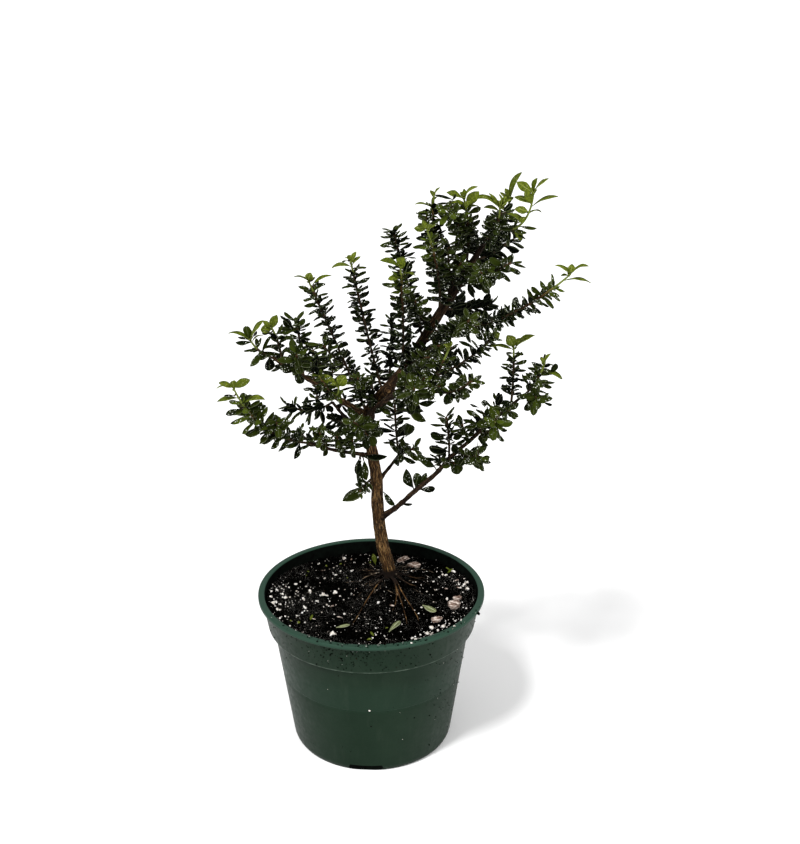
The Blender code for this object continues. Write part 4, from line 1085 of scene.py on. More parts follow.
class Foliage:
    # gathers the leaves of one piece, with what the leaf material reads at each point

    def __init__(self, plan):
        self.plan = plan
        self.along, self.across, self.leafFaces = leafGrid(plan["rows"], plan["columns"])
        self.points, self.faces, self.notes, self.tones = [], [], [], []
        self.kinds, self.count = [], 0

    def stem(self, route, radii, tones):
        points, faces = sweep(route, radii, stemPlan["sides"])
        self.take(np.array([tuple(p) for p in points]), faces, 1)
        self.notes.append(np.zeros((len(points), 3)))
        shades = [*np.repeat(tones, stemPlan["sides"]), tones[0], tones[-1]]
        self.tones.append(np.array([shades, np.zeros(len(points)), np.zeros(len(points))]).T)

    def take(self, points, faces, kind):
        self.points.append(points)
        self.faces += [tuple(i + self.count for i in f) for f in faces]
        self.kinds += [kind] * len(faces)
        self.count += len(points)

    def leafTo(self, foot, tip, shown, youth, luck):
        # a leaf from its foot to its tip, that shows the viewer a width of that share of its length
        heading = tip - foot
        edgeOn = viewer.cross(heading).normalized()
        edgeOn *= 1 if edgeOn.z > 0 else -1
        turned = min(1.0, shown / self.plan["width"])
        face = viewer * turned + edgeOn * math.sqrt(1.0001 - turned**2)
        kept = self.plan
        self.plan = dict(kept, width=max(shown, kept["width"]), roll=6.0)
        self.leaf(foot, heading, face, heading.length, youth, luck, True)
        self.plan = kept

    def leaf(self, place, heading, face, length, youth, luck, reaches=False):
        plan, along, across = self.plan, self.along, self.across
        heading = heading.normalized()
        side = face.cross(heading).normalized()
        normal = heading.cross(side)
        droop = math.radians(plan["droop"] * luck.uniform(0.4, 1.4))
        lift = math.radians(plan["lift"] * luck.uniform(0.3, 1.5))
        roll = math.radians(plan["roll"] * luck.uniform(-1, 1))
        twist = math.radians(luck.uniform(-14, 14))
        fold = plan["fold"] * luck.uniform(0.4, 1.5)
        wave, phase = luck.uniform(0.02, 0.09), luck.uniform(0, 6)
        widest = length * plan["width"] * luck.uniform(0.9, 1.12) / 2

        # a short stalk, then a blade widest past its middle, with a blunt end and a few shallow teeth
        blade = np.clip((along - plan["petiole"]) / (1 - plan["petiole"]), 0, 1)
        oval = np.sin(np.pi * np.clip(blade, 0.0, 1.0) ** plan["bulge"]) ** plan["blunt"]
        teeth = 1 + 0.04 * np.sin(along * 34 + phase) * smoothStep(0.35, 0.6, blade)
        half = np.maximum(widest * oval * teeth, 0.03 * length * (1 - 0.6 * blade))
        steps = np.linspace(0, 1, 25)
        slope = droop * steps**1.5 - lift
        level = (slope[1:] + slope[:-1]) / 2
        x = np.interp(along, steps, np.concatenate([[0], np.cumsum(np.cos(level))])) * length / 24
        z = np.interp(along, steps, np.concatenate([[0], np.cumsum(-np.sin(level))])) * length / 24
        if reaches:
            span = math.hypot(x[-1], z[-1])
            c, s = x[-1] / span, z[-1] / span
            x, z = (x * c + z * s) * length / span, (z * c - x * s) * length / span
            slope = slope + math.atan2(s, c)
        y = across * half
        z = z + half * (fold * np.abs(across) - plan["margin"] * across**6)
        z = z + wave * half * across * np.sin(along * 7 + phase) * 2
        turn = roll + twist * along
        y, z = y * np.cos(turn), z + y * np.sin(turn)
        thick = plan["thickness"] * (0.5 + 0.5 * (1 - across**2)) / 2

        lean = np.interp(along, steps, slope)
        shift = np.array([thick * np.sin(lean), np.zeros_like(x), thick * np.cos(lean)]).T
        sheet = np.array([x, y, z]).T
        axes = np.array([tuple(heading), tuple(side), tuple(normal)])
        both = np.concatenate([sheet + shift, sheet - shift]) @ axes + np.array(tuple(place))
        self.take(both, self.leafFaces, 0)
        upper = np.concatenate([np.ones_like(along), np.zeros_like(along)])
        self.notes.append(np.array([np.tile(along, 2), np.tile(across, 2), upper]).T)
        self.tones.append(np.tile([luck.random(), youth, luck.random()], (len(both), 1)))

    def piece(self, name, materials, slot, *nodes):
        made = buildMesh(name, np.concatenate(self.points), self.faces, materials)
        made.data.polygons.foreach_set("material_index", self.kinds)
        noteOnPoints(made, "leafAt", "FLOAT_VECTOR", np.concatenate(self.notes))
        noteOnPoints(made, "leafTone", "FLOAT_VECTOR", np.concatenate(self.tones))
        return setInPlace(made, slot, *nodes)


def stemFrame(direction):
    steady = Vector((0, 1, 0)) if abs(direction.y) < 0.9 else up
    level = steady.cross(direction).normalized()
    return level, direction.cross(level)


def leafHeading(direction, turn, spread):
    level, rise = stemFrame(direction)
    out = level * math.cos(turn) + rise * math.sin(turn)
    heading = direction * math.cos(spread) + out * math.sin(spread)
    face = direction * math.sin(spread) - out * math.cos(spread) + Vector((0, 0, 0.7))
    return heading, face


def leafGreen(name, deep, light, under, freshTop, line, glint, rough):
    made = Finish(name, Specular_IOR_Level=0.015)
    at = made.axes("leafAt")
    tone = made.axes("leafTone")
    middle = made.reckon("ABSOLUTE", at["Y"])
    clouds = made.ramp(made.grain(0.75, 3.0, 0.6), (0.44, 0.0), (0.61, 1.0))
    blade = made.mix(made.times(clouds, made.reckon("ADD", tone["X"], 0.4)), deep, light)
    blade = made.mix(tone["Y"], blade, freshTop)
    colour = made.mix(at["Z"], made.mix(clouds, deep, under), blade)
    # a paler midrib and rim, that show more on some leaves than on others; the midrib is partly the
    # vein's own paler colour and partly a painted highlight, and the rim is a painted highlight
    rib = made.ramp(middle, (0.0, 1.0), (0.11, 0.0))
    edge = made.ramp(middle, (0.86, 0.0), (0.98, 0.8))
    shown = made.reckon("ADD", made.reckon("POWER", tone["Z"], 2.0), 0.12)
    colour = made.mix(made.times(made.reckon("MAXIMUM", rib, edge), shown), colour, line)
    slant = made.reckon("SUBTRACT", made.times(at["X"], 9.0), made.times(middle, 1.6))
    wave = made.reckon("SINE", made.times(slant, 3.1416))
    veins = made.reckon("POWER", made.reckon("ABSOLUTE", wave), 0.35)
    # the puckered skin glints in small specks, on some stretches more than on others
    dots = made.ramp(made.cells(0.8)["Distance"], (0.2, 1.0), (0.3, 0.0))
    patches = made.ramp(made.grain(0.2, 2.0), (0.5, 0.0), (0.56, 1.0))
    colour = made.mix(made.times(made.times(dots, patches), at["Z"]), colour, glint)
    uneven = made.ramp(made.grain(0.7, 3.0), (0.3, rough), (0.8, rough + 0.2))
    gloss = made.mix(at["Z"], (0.62, 0.62, 0.62), uneven)
    puckers = made.relief(made.grain(1.5, 3.0, 0.6), 0.55, 0.35)
    furrows = made.relief(veins, 0.35, 0.22, puckers)
    groove = made.relief(made.ramp(middle, (0.0, 0.0), (0.14, 1.0)), 0.6, 0.2, furrows)
    return made.done(Base_Color=colour, Roughness=gloss, Normal=groove)


def twigGreen():
    made = Finish("twigGreen", Specular_IOR_Level=0.1, Roughness=0.7)
    tone = made.axes("leafTone")
    wisps = made.grain(1.8, 5.0)
    woody = made.ramp(wisps, (0.3, (0.006, 0.004, 0.002)), (0.7, (0.040, 0.024, 0.010)))
    brown = made.ramp(wisps, (0.3, (0.032, 0.013, 0.004)), (0.7, (0.100, 0.046, 0.014)))
    fresh = made.ramp(wisps, (0.3, (0.080, 0.105, 0.012)), (0.7, (0.15, 0.18, 0.04)))
    grown = made.mix(made.ramp(tone["X"], (0.1, 0.0), (0.6, 1.0)), woody, brown)
    colour = made.mix(made.ramp(tone["X"], (0.5, 0.0), (1.0, 1.0)), grown, fresh)
    return made.done(Base_Color=colour, Normal=made.relief(made.grain(3.0, 5.0), 0.5, 0.2))


darkLeaf = leafGreen(
    "darkLeaf", deep=(0.0002, 0.0005, 0.0001), light=(0.0064, 0.0114, 0.0018),
    under=(0.008, 0.011, 0.007), freshTop=(0.058, 0.083, 0.006), line=(0.100, 0.112, 0.060),
    glint=(0.66, 0.68, 0.60), rough=0.3,
)
youngLeaf = leafGreen(
    "youngLeaf", deep=(0.027, 0.040, 0.002), light=(0.094, 0.120, 0.006), under=(0.068, 0.086, 0.013),
    freshTop=(0.15, 0.18, 0.03), line=(0.22, 0.25, 0.060), glint=(0.24, 0.26, 0.10), rough=0.42,
)
twigSkin = twigGreen()


def leafyStem(foliage, name, route, radius, scale, fresh, gap=1.0, bare=leafPlan["bare"], reach=8):
    # one stem with its opposite leaves, and smaller ones in most of their axils; the tip is the freshest
    plan = leafPlan
    total = routeLength(route)
    count = len(route)
    browning = [fresh * (i / (count - 1)) ** 3 for i in range(count)]
    foliage.stem(route, tapered(count, radius, radius), browning)
    firstTurn = random.Random(name).uniform(-0.4, 0.4)
    mark, k = total - 0.6, 0
    while mark > bare:
        place, direction = pointAt(route, mark)
        here = fresh * max(0.0, 1 - k / reach)
        for side in (0, 1):
            luck = random.Random(f"{name} {k} {side} leaf")
            turn = firstTurn + math.radians(k * plan["turn"] + 180 * side + luck.uniform(-13, 13))
            spread = math.radians(luck.uniform(38, 52) if k == 0 else luck.uniform(64, 84))
            heading, face = leafHeading(direction, turn, spread)
            heading.z *= plan["level"] + (1 - plan["level"]) * abs(direction.z)
            size = plan["length"] * scale * luck.uniform(0.8, 1.1) * (0.8 if k == 0 else 1)
            foliage.leaf(place, heading, face, size, here * luck.uniform(0.3, 1.0), luck)
            for _ in range(2 if k > 6 else 1):
                if luck.random() < plan["axil"]:
                    spread = math.radians(luck.uniform(34, 66))
                    heading, face = leafHeading(direction, turn + luck.uniform(-0.8, 0.8), spread)
                    small = size * plan["axilSize"] * luck.uniform(0.7, 1.35)
                    youth = here * luck.uniform(0.2, 1.0) + 0.25 * luck.random() ** 3
                    foliage.leaf(place + direction * 0.5, heading, face, small, youth, luck)
        mark -= (plan["spacing"] + plan["spreadOut"] * k) * min(1.0, 0.35 + 0.65 * scale) * gap
        k += 1


# The leaves of every young tuft, as (how far below the tuft's tip it starts, where it ends, the width
# that it shows as a share of its length)
tuftLeaves = {
    "apex": [(0.8, (96, -2, 413), 0.45), (0, (116, -6, 416), 0.2), (0, (109, -4, 416), 0.3),
             (9.8, (123, -4, 404), 0.16), (7.7, (95, 0, 403), 0.35), (7.7, (101, -6, 408), 0.52),
             (18.4, (91, 0, 391), 0.35), (29.1, (101, 0, 375), 0.5), (14.6, (113, 0, 393), 0.14),
             (22.0, (88, -8, 392), 0.4), (13.2, (95, -4, 396), 0.5), (16.5, (98, -8, 388), 0.5)],
    "crown_top": [(0, (101, 18, 416), 0.27), (0, (90, 15, 406), 0.4), (2.3, (87, 17, 403), 0.3)],
    "crown_right": [(2.1, (77, -20, 409), 0.25), (1.4, (67, -23, 406), 0.25),
                    (3.5, (74, -20, 400), 0.3), (0.7, (83, -23, 409), 0.2), (2.1, (88, -19, 407), 0.5),
                    (1.4, (91, -24, 406), 0.25)],
    "crown_middle": [(0.9, (51, 0, 406), 0.35), (6.4, (72, -2, 407), 0.55), (0, (71, -2, 410), 0.2),
                     (0, (62, -3, 409), 0.4), (14.4, (73, 5, 395), 0.2), (13.5, (52, -1, 390), 0.3),
                     (4.0, (55, -6, 400), 0.4), (8.0, (66, -8, 401), 0.5), (6.0, (50, 2, 398), 0.3)],
    "crown_back": [(1.1, (48, 35, 403), 0.3), (9.5, (44, 30, 398), 0.3), (8.5, (31, 33, 392), 0.15),
                   (3.2, (46, 33, 397), 0.3)],
    "crown_left": [(0, (30, -16, 386), 0.5), (0, (35, -20, 392), 0.5), (0, (33, -18, 387), 0.3),
                   (0, (44, -19, 389), 0.3)],
    "tall_front": [(1.8, (8, -12, 364), 0.3), (3.6, (24, -16, 367), 0.45), (7.1, (31, -13, 354), 0.25),
                   (10.6, (13, -14, 352), 0.5), (1.8, (21, -11, 364), 0.3)],
    "tall_middle": [(2.2, (-9, 31, 360), 0.38), (4.3, (-26, 28, 349), 0.25), (0, (-17, 30, 356), 0.3),
                    (4.3, (-6, 29, 357), 0.2)],
    "tall_left": [(0, (-52, 28, 343), 0.15), (0, (-40, 24, 347), 0.8), (4.5, (-26, 27, 344), 0.18),
                  (0, (-46, 25, 344), 0.2)],
    "left_end": [(1.2, (-92, -20, 317), 0.2), (1.2, (-68, -24, 327), 0.32), (2.7, (-69, -21, 316), 0.2)],
    "left_first": [(3.4, (-61, -7, 326), 0.5), (2.6, (-70, -11, 323), 0.5), (3.8, (-72, -8, 316), 0.7)],
    "left_inner": [(0, (-32, -20, 288), 0.42), (0, (-15, -24, 289), 0.75), (2.3, (-22, -20, 283), 0.4)],
    "low_left": [(0, (-76, -44, 293), 0.45), (0, (-96, -47, 292), 0.4), (0, (-98, -44, 287), 0.12),
                 (8.7, (-98, -44, 278), 0.25), (1.5, (-85, -42, 290), 0.3),
                 (17.1, (-67, -43, 279), 0.28)],
    "right_high": [(0, (119, -34, 366), 0.3), (0, (129, -38, 368), 0.6), (0, (140, -36, 366), 0.2),
                   (6.5, (142, -36, 355), 0.12), (1.6, (123, -33, 359), 0.35)],
    "right_low_upright": [(2.4, (111, -8, 312), 0.2), (0, (92, -11, 313), 0.75),
                          (2.4, (81, -9, 304), 0.2), (0, (101, -10, 311), 0.5)],
    "right_low_end": [(0.6, (120, -26, 305), 0.2), (0, (113, -30, 303), 0.6),
                      (2.5, (114, -27, 300), 0.5), (6.1, (128, -28, 288), 0.25)],
    "right_middle": [(1.8, (93, 54, 295), 0.45), (1.8, (83, 50, 296), 0.3)],
    "front_first": [(0, (53, -28, 315), 0.9), (0.6, (49, -32, 313), 0.3)],
}


def youngTuft(foliage, name, route, size):
    total, count = routeLength(route), len(route)
    foliage.stem(route, tapered(count, stemPlan["radius"], 0.55), [1.0] * count)
    for k, (back, tip, shown) in enumerate(tuftLeaves[name]):
        luck = random.Random(f"{name} young {k}")
        foot = pointAt(route, max(0.3, total - back - 0.3))[0]
        foliage.leafTo(foot, Vector(tip), shown, 0.25 * luck.random(), luck)
    # a pair across the others gives the tuft its depth
    for side, share in ((1, 0.75), (-1, 0.4)):
        luck = random.Random(f"{name} across {side}")
        place, direction = pointAt(route, max(0.5, total - 2.5))
        heading = Vector((luck.uniform(-0.3, 0.3), side, 0.5)) + direction * 0.3
        face = direction - heading * 0.2 + up * 0.4
        foliage.leaf(place, heading, face, youngPlan["length"] * size * share, 0.1, luck)


def makeSprays():
    leaves = 0
    for name, parts in sprays.items():
        spray = sprayTable[name]
        scale = spray.get("leaf", 1.0)
        fresh = spray.get("fresh", 0.32)
        foliage = Foliage(leafPlan)
        route = parts["leafy"]
        leafyStem(foliage, name, route, stemPlan["radius"], scale, fresh, spray.get("gap", 1.0),
                  reach=spray.get("reach", 8))
        for i, twig in enumerate(parts["twigs"]):
            leafyStem(foliage, f"{name} twig {i}", twig, stemPlan["twigRadius"], scale * 0.95, fresh)
        leaves += foliage.kinds.count(0) // len(foliage.leafFaces)
        foliage.piece("leafy_" + name, [darkLeaf, twigSkin], "leaves", "spray_" + name)
        if parts["young"]:
            tuft = Foliage(youngPlan)
            youngTuft(tuft, name, parts["young"], spray["young"])
            tuft.piece("young_" + name, [youngLeaf, twigSkin], "new_growth", "new_growth_" + name)
    return leaves


print("sprays dressed with", makeSprays(), "dark leaves")


# Short side shoots, as (limb, start, end, leaf size)
shortShoots = [
    ("left_middle", (-36, -6, 277), (-38, 2, 299), 0.95),
    ("left_middle", (-26, 1, 267), (-25, 11, 284), 0.85),
    ("left_middle", (-34, -4, 274), (-36, 11, 292), 0.85),
    ("spray_tall_left", (-16, 26, 279), (-32, 18, 297), 0.85),
    ("left_middle", (-53, -13, 290), (-60, -4, 294), 0.8),
    ("trunk", (-1, 16, 248), (-12, 32, 273), 0.8), ("trunk", (1, 15, 253), (-8, -1, 280), 0.85),
    ("trunk", (3, 14, 256), (1, 32, 271), 0.85), ("left_back", (-17, 30, 238), (-29, 44, 232), 0.65),
    ("left_back", (-23, 34, 243), (-19, 44, 247), 0.8),
    ("left_low", (-18, 6, 222), (-23, -3, 238), 0.85),
    ("left_low", (-29, -4, 229), (-34, -12, 244), 0.9),
    ("left_low", (-12, 10, 219), (-12, 0, 234), 0.8),
    ("left_low", (-37, -9, 234), (-48, -9, 243), 0.95), ("front", (25, -19, 274), (26, -31, 289), 0.85),
    ("front", (34, -27, 278), (37, -33, 291), 0.85), ("front", (40, -32, 280), (47, -44, 289), 0.85),
    ("right_middle", (21, 24, 262), (29, 28, 279), 0.85),
    ("right_middle", (33, 29, 265), (43, 21, 281), 0.85), ("trunk", (28, 10, 287), (48, -8, 305), 0.85),
    ("trunk", (23, 11, 281), (41, -15, 299), 0.85), ("trunk", (27, 10, 286), (51, 21, 277), 0.85),
    ("trunk", (58, 5, 340), (61, -9, 362), 0.85), ("trunk", (53, 6, 331), (60, 22, 349), 0.85),
    ("trunk", (41, 7, 312), (31, -7, 336), 0.85), ("right_high", (56, -8, 315), (78, -11, 324), 0.75),
    ("spray_right_high", (70, -16, 322), (92, -20, 328), 0.7),
    ("right_back_low", (16, 35, 202), (31, 27, 216), 1.05),
    ("right_low", (49, -2, 212), (49, 6, 222), 0.95),
    ("right_low", (68, -10, 237), (63, -22, 254), 0.8),
    ("right_low", (74, -13, 244), (83, -20, 247), 0.75),
    ("right_low", (90, -19, 261), (94, -31, 267), 0.8),
    ("right_low", (54, -4, 220), (59, -13, 221), 0.75), ("trunk", (58, 5, 340), (53, -4, 373), 0.9),
    ("spray_crown_back", (47, 22, 360), (38, 19, 386), 0.85),
    ("spray_crown_middle", (65, 5, 364), (59, -6, 388), 0.85),
    ("spray_right_middle", (80, 50, 285), (88, 46, 294), 0.8),
    ("spray_right_low_end", (111, -26, 286), (117, -22, 296), 0.75),
    ("spray_low_left", (-56, -23, 244), (-61, -34, 260), 0.85),
    ("spray_crown_front", (72, -10, 351), (76, -27, 362), 0.8),
]

# Single leaves, as (foot, tip, the width that it shows)
singleLeaves = [
    ((-66, -17, 301), (-75, -24, 301), 0.42), ((-66, -17, 300), (-65, -25, 293), 0.6),
    ((-23, 30, 233), (-36, 26, 233), 0.34), ((-10, 8, 249), (-23, 2, 237), 0.3),
    ((-6, 10, 217), (12, 3, 220), 0.3), ((-8, 12, 215), (-10, 6, 205), 0.4),
    ((-7, 10, 214), (-8, 8, 195), 0.34), ((-5, 12, 214), (-3, 9, 199), 0.36),
    ((0, 16, 192), (-20, 2, 186), 0.28), ((9, 18, 186), (17, 12, 178), 0.34),
    ((-2, 12, 246), (6, 7, 238), 0.6), ((-1, 12, 235), (3, 7, 226), 0.62),
    ((26, 10, 256), (39, 4, 246), 0.32), ((27, 8, 257), (37, -3, 256), 0.34),
    ((45, -30, 273), (33, -34, 273), 0.3), ((52, -34, 281), (52, -38, 274), 0.7),
    ((59, -42, 287), (62, -47, 282), 0.8), ((25, 32, 223), (28, 27, 235), 0.62),
    ((31, 16, 189), (25, 10, 207), 0.32), ((32, 16, 190), (34, 10, 204), 0.5),
    ((33, 14, 192), (40, 10, 204), 0.4), ((35, 13, 190), (46, 8, 193), 0.42),
    ((22, 19, 176), (30, 14, 178), 0.26), ((46, 4, 211), (33, -4, 224), 0.36),
    ((55, 0, 225), (41, -8, 231), 0.4), ((53, 0, 234), (42, -4, 240), 0.42),
    ((57, -4, 220), (62, -10, 212), 0.6), ((1, 12, 250), (2, 4, 263), 0.5),
    ((5, 11, 256), (14, 2, 252), 0.4), ((3, 8, 250), (8, 1, 258), 0.45),
    ((2, 10, 252), (12, 4, 263), 0.4), ((6, 8, 258), (0, 2, 263), 0.4),
    ((1, 12, 249), (-6, 4, 243), 0.42), ((99, -1, 384), (110, -2, 383), 0.25),
    ((96, 0, 380), (102, 3, 380), 0.2), ((96, 0, 379), (103, -3, 376), 0.2),
    ((96, 0, 382), (82, 1, 378), 0.35), ((102, -2, 395), (101, -3, 396), 0.6),
    ((86, -21, 397), (92, -22, 403), 0.45), ((86, -20, 396), (97, -18, 390), 0.25),
    ((84, -20, 396), (74, -23, 391), 0.3), ((40, 32, 388), (36, 31, 388), 0.25),
    ((43, 32, 389), (46, 35, 392), 0.6), ((46, 32, 386), (53, 29, 385), 0.65),
    ((40, -17, 380), (31, -18, 380), 0.35), ((39, -15, 375), (29, -13, 373), 0.3),
    ((41, -13, 365), (35, -16, 367), 0.7), ((54, -19, 405), (43, -20, 408), 0.25),
    ((53, -17, 402), (44, -14, 401), 0.15), ((57, -15, 402), (48, -18, 400), 0.35),
    ((54, -18, 404), (56, -17, 408), 0.3), ((16, 44, 371), (9, 43, 371), 0.2),
    ((16, 44, 370), (19, 46, 375), 0.6), ((16, 43, 365), (7, 40, 362), 0.35),
    ((20, 43, 366), (28, 44, 366), 0.2), ((19, 41, 362), (27, 41, 364), 0.3),
    ((16, 41, 361), (10, 43, 361), 0.15), ((26, 38, 354), (32, 37, 354), 0.15),
    ((24, -13, 355), (27, -14, 364), 0.6), ((19, -12, 348), (9, -10, 348), 0.2),
    ((19, -14, 358), (13, -17, 362), 0.35), ((-13, 30, 352), (-6, 29, 357), 0.2),
    ((-15, 30, 354), (-19, 32, 353), 0.2), ((-10, 30, 349), (-2, 27, 350), 0.2),
    ((-39, 26, 341), (-37, 25, 344), 0.3), ((-37, 27, 338), (-36, 29, 341), 0.8),
    ((-38, 27, 338), (-30, 24, 339), 0.35), ((-41, 26, 335), (-49, 25, 337), 0.38),
    ((-78, -22, 314), (-80, -23, 323), 0.6), ((-78, -22, 313), (-86, -19, 314), 0.2),
    ((-76, -21, 311), (-87, -24, 312), 0.15), ((-76, -22, 315), (-73, -21, 319), 0.4),
    ((-66, -9, 314), (-71, -10, 314), 0.5), ((-63, -9, 313), (-55, -7, 315), 0.25),
    ((-62, -10, 311), (-51, -13, 313), 0.2), ((-51, 6, 311), (-60, 5, 322), 0.15),
    ((-52, 6, 312), (-58, 8, 319), 0.6), ((-51, 6, 312), (-43, 3, 320), 0.35),
    ((-52, 6, 312), (-62, 7, 313), 0.4), ((-49, 6, 312), (-49, 5, 320), 0.2),
    ((-48, 6, 311), (-43, 8, 312), 0.2), ((-48, 5, 308), (-43, 4, 311), 0.2),
    ((-47, 5, 306), (-40, 6, 305), 0.25), ((-47, 4, 303), (-34, 2, 303), 0.2),
    ((-84, -43, 280), (-80, -44, 284), 0.5), ((-84, -42, 275), (-76, -39, 281), 0.45),
    ((-84, -41, 272), (-93, -44, 269), 0.45), ((-80, -39, 270), (-67, -38, 273), 0.3),
    ((-81, -38, 265), (-91, -39, 261), 0.3), ((-73, -33, 255), (-83, -31, 250), 0.4),
    ((-63, -27, 246), (-73, -29, 243), 0.3), ((-57, -26, 254), (-50, -25, 258), 0.35),
    ((-87, -44, 282), (-93, -46, 283), 0.2), ((97, -10, 300), (92, -11, 301), 0.25),
    ((97, -10, 300), (104, -8, 299), 0.25), ((115, -28, 297), (107, -29, 300), 0.25),
    ((114, -27, 294), (105, -25, 295), 0.25), ((120, -27, 292), (124, -30, 299), 0.5),
    ((112, -27, 288), (106, -26, 292), 0.3), ((112, -27, 288), (102, -27, 290), 0.3),
    ((111, -26, 286), (122, -24, 281), 0.25), ((113, -46, 281), (117, -47, 285), 0.4),
    ((114, -46, 278), (120, -44, 276), 0.25), ((105, -29, 272), (106, -32, 267), 0.9),
    ((111, -40, 277), (112, -39, 271), 0.8), ((110, -37, 277), (110, -38, 284), 0.8),
    ((74, -17, 264), (68, -18, 267), 0.25), ((75, -17, 257), (66, -14, 261), 0.3),
    ((73, -24, 255), (63, -27, 259), 0.3), ((78, -17, 264), (78, -16, 269), 0.9),
    ((87, -45, 274), (92, -46, 279), 0.6), ((85, -17, 264), (84, -15, 268), 0.3),
    ((86, -35, 256), (92, -37, 255), 0.4), ((85, -32, 251), (91, -31, 245), 0.4),
    ((73, -30, 247), (80, -32, 242), 0.4), ((75, -36, 235), (81, -37, 236), 0.5),
    ((73, -33, 232), (78, -30, 223), 0.4), ((61, -13, 224), (61, -16, 215), 0.7),
    ((75, 48, 285), (63, 47, 291), 0.2), ((85, 51, 289), (92, 54, 296), 0.6),
    ((64, -52, 293), (73, -53, 299), 0.35), ((60, -49, 289), (60, -47, 282), 0.8),
    ((53, -43, 284), (52, -46, 277), 0.8), ((55, -30, 311), (59, -31, 313), 0.2),
    ((52, -30, 307), (47, -28, 308), 0.15), ((84, -23, 325), (92, -24, 328), 0.2),
    ((86, -24, 328), (92, -21, 332), 0.4),
]


def makeShortShoots():
    foliage = Foliage(leafPlan)
    parents = dict(limbs)
    for name, parts in sprays.items():
        parents["spray_" + name] = (parts["leafy"], [stemPlan["radius"]] * len(parts["leafy"]))
    stems = [line for line, radii in limbs.values()]
    for parts in sprays.values():
        stems += [line for line in (parts["leafy"], parts["young"], *parts["twigs"]) if line]
    for i, (limb, start, end, scale) in enumerate(shortShoots):
        line, radii = parents[limb]
        start, end = Vector(start), Vector(end)
        nearest = min(range(len(line)), key=lambda k: (line[k] - start).length)
        start = line[nearest]
        via = (start + end) / 2 + (end - start).cross(Vector((0.3, 1, 0.2))) * 0.06
        route = arcThrough(start, via, end, 1.5)
        leafyStem(foliage, f"short {i}", route, stemPlan["twigRadius"], scale, 0.4,
                  bare=radii[nearest] + 1.2)
    for i, (foot, tip, width) in enumerate(singleLeaves):
        luck = random.Random(f"single {i}")
        foot, tip = Vector(foot), Vector(tip)
        nearest = min((p for line in stems for p in line), key=lambda p: (p - foot).length)
        if (nearest - foot).length > 0.5:
            # a stalk joins it to the stem beside it
            stalk = arcThrough(nearest, (nearest + foot) / 2 - up * 0.4, foot, 1.0)
            foliage.stem(stalk, [0.5] * 5, [0.1] * 5)
        foliage.leafTo(foot, tip, width, 0.3 * luck.random() ** 2, luck)
    foliage.piece("short_shoots", [darkLeaf, twigSkin], "leaves")


makeShortShoots()


# Leaves and bark that have dropped on the soil

fallenPlan = {
    "fallen_leaf_left": ((-19, -42), 8, 10), "fallen_leaf_front": ((17, -42), 62, 16),
    "fallen_leaf_right": ((42, -17), -50, 14.5),
}
chipPlan = {
    # place, heading, length, width and height of each lump of bark
    "chips": [((32, 47), 15, 9, 5, 4.5), ((23, 61), 30, 11, 4.5, 3.5), ((60, -15), 10, 9, 7, 6),
              ((47, -33), 30, 7.5, 4.5, 4), ((63, -4), 20, 6, 4, 3.5)],
    "slivers": 12, "scraps": 9, "seed": 12,
    # the larger green scraps, as (place, heading, how steeply it stands, length)
    "greens": [((2, 50), 110, 1.2, 9), ((-43, -30), 70, 0.7, 5), ((3, -56), 120, 0.3, 5),
               ((-2, -61), 20, 0.2, 4), ((57, 38), 40, 0.3, 6), ((60, 41), 150, 0.3, 5)],
}


def dryLeaf():
    made = Finish("dryLeaf", Specular_IOR_Level=0.3, Roughness=0.7)
    at = made.axes("leafAt")
    middle = made.reckon("ABSOLUTE", at["Y"])
    faded = made.ramp(made.grain(0.6, 4.0), (0.3, (0.040, 0.050, 0.015)), (0.55, (0.115, 0.135, 0.045)),
                      (0.75, (0.26, 0.27, 0.13)))
    rib = made.ramp(middle, (0.0, 1.0), (0.13, 0.0))
    edge = made.ramp(middle, (0.78, 0.0), (0.98, 0.7))
    colour = made.mix(edge, made.mix(rib, faded, (0.48, 0.50, 0.36)), (0.36, 0.38, 0.25))
    return made.done(Base_Color=colour, Normal=made.relief(made.grain(1.8, 4.0), 0.6, 0.3))


def barkChip():
    made = Finish("barkChip", Specular_IOR_Level=0.2, Roughness=0.9)
    layers = made.grain(0.5, 6.0, 0.65, made.stretched(0.5, 1, 2.5))
    pink = made.ramp(layers, (0.36, (0.020, 0.010, 0.006)), (0.48, (0.16, 0.100, 0.074)),
                     (0.60, (0.60, 0.52, 0.46)))
    return made.done(Base_Color=pink, Normal=made.relief(layers, 0.9, 0.9))


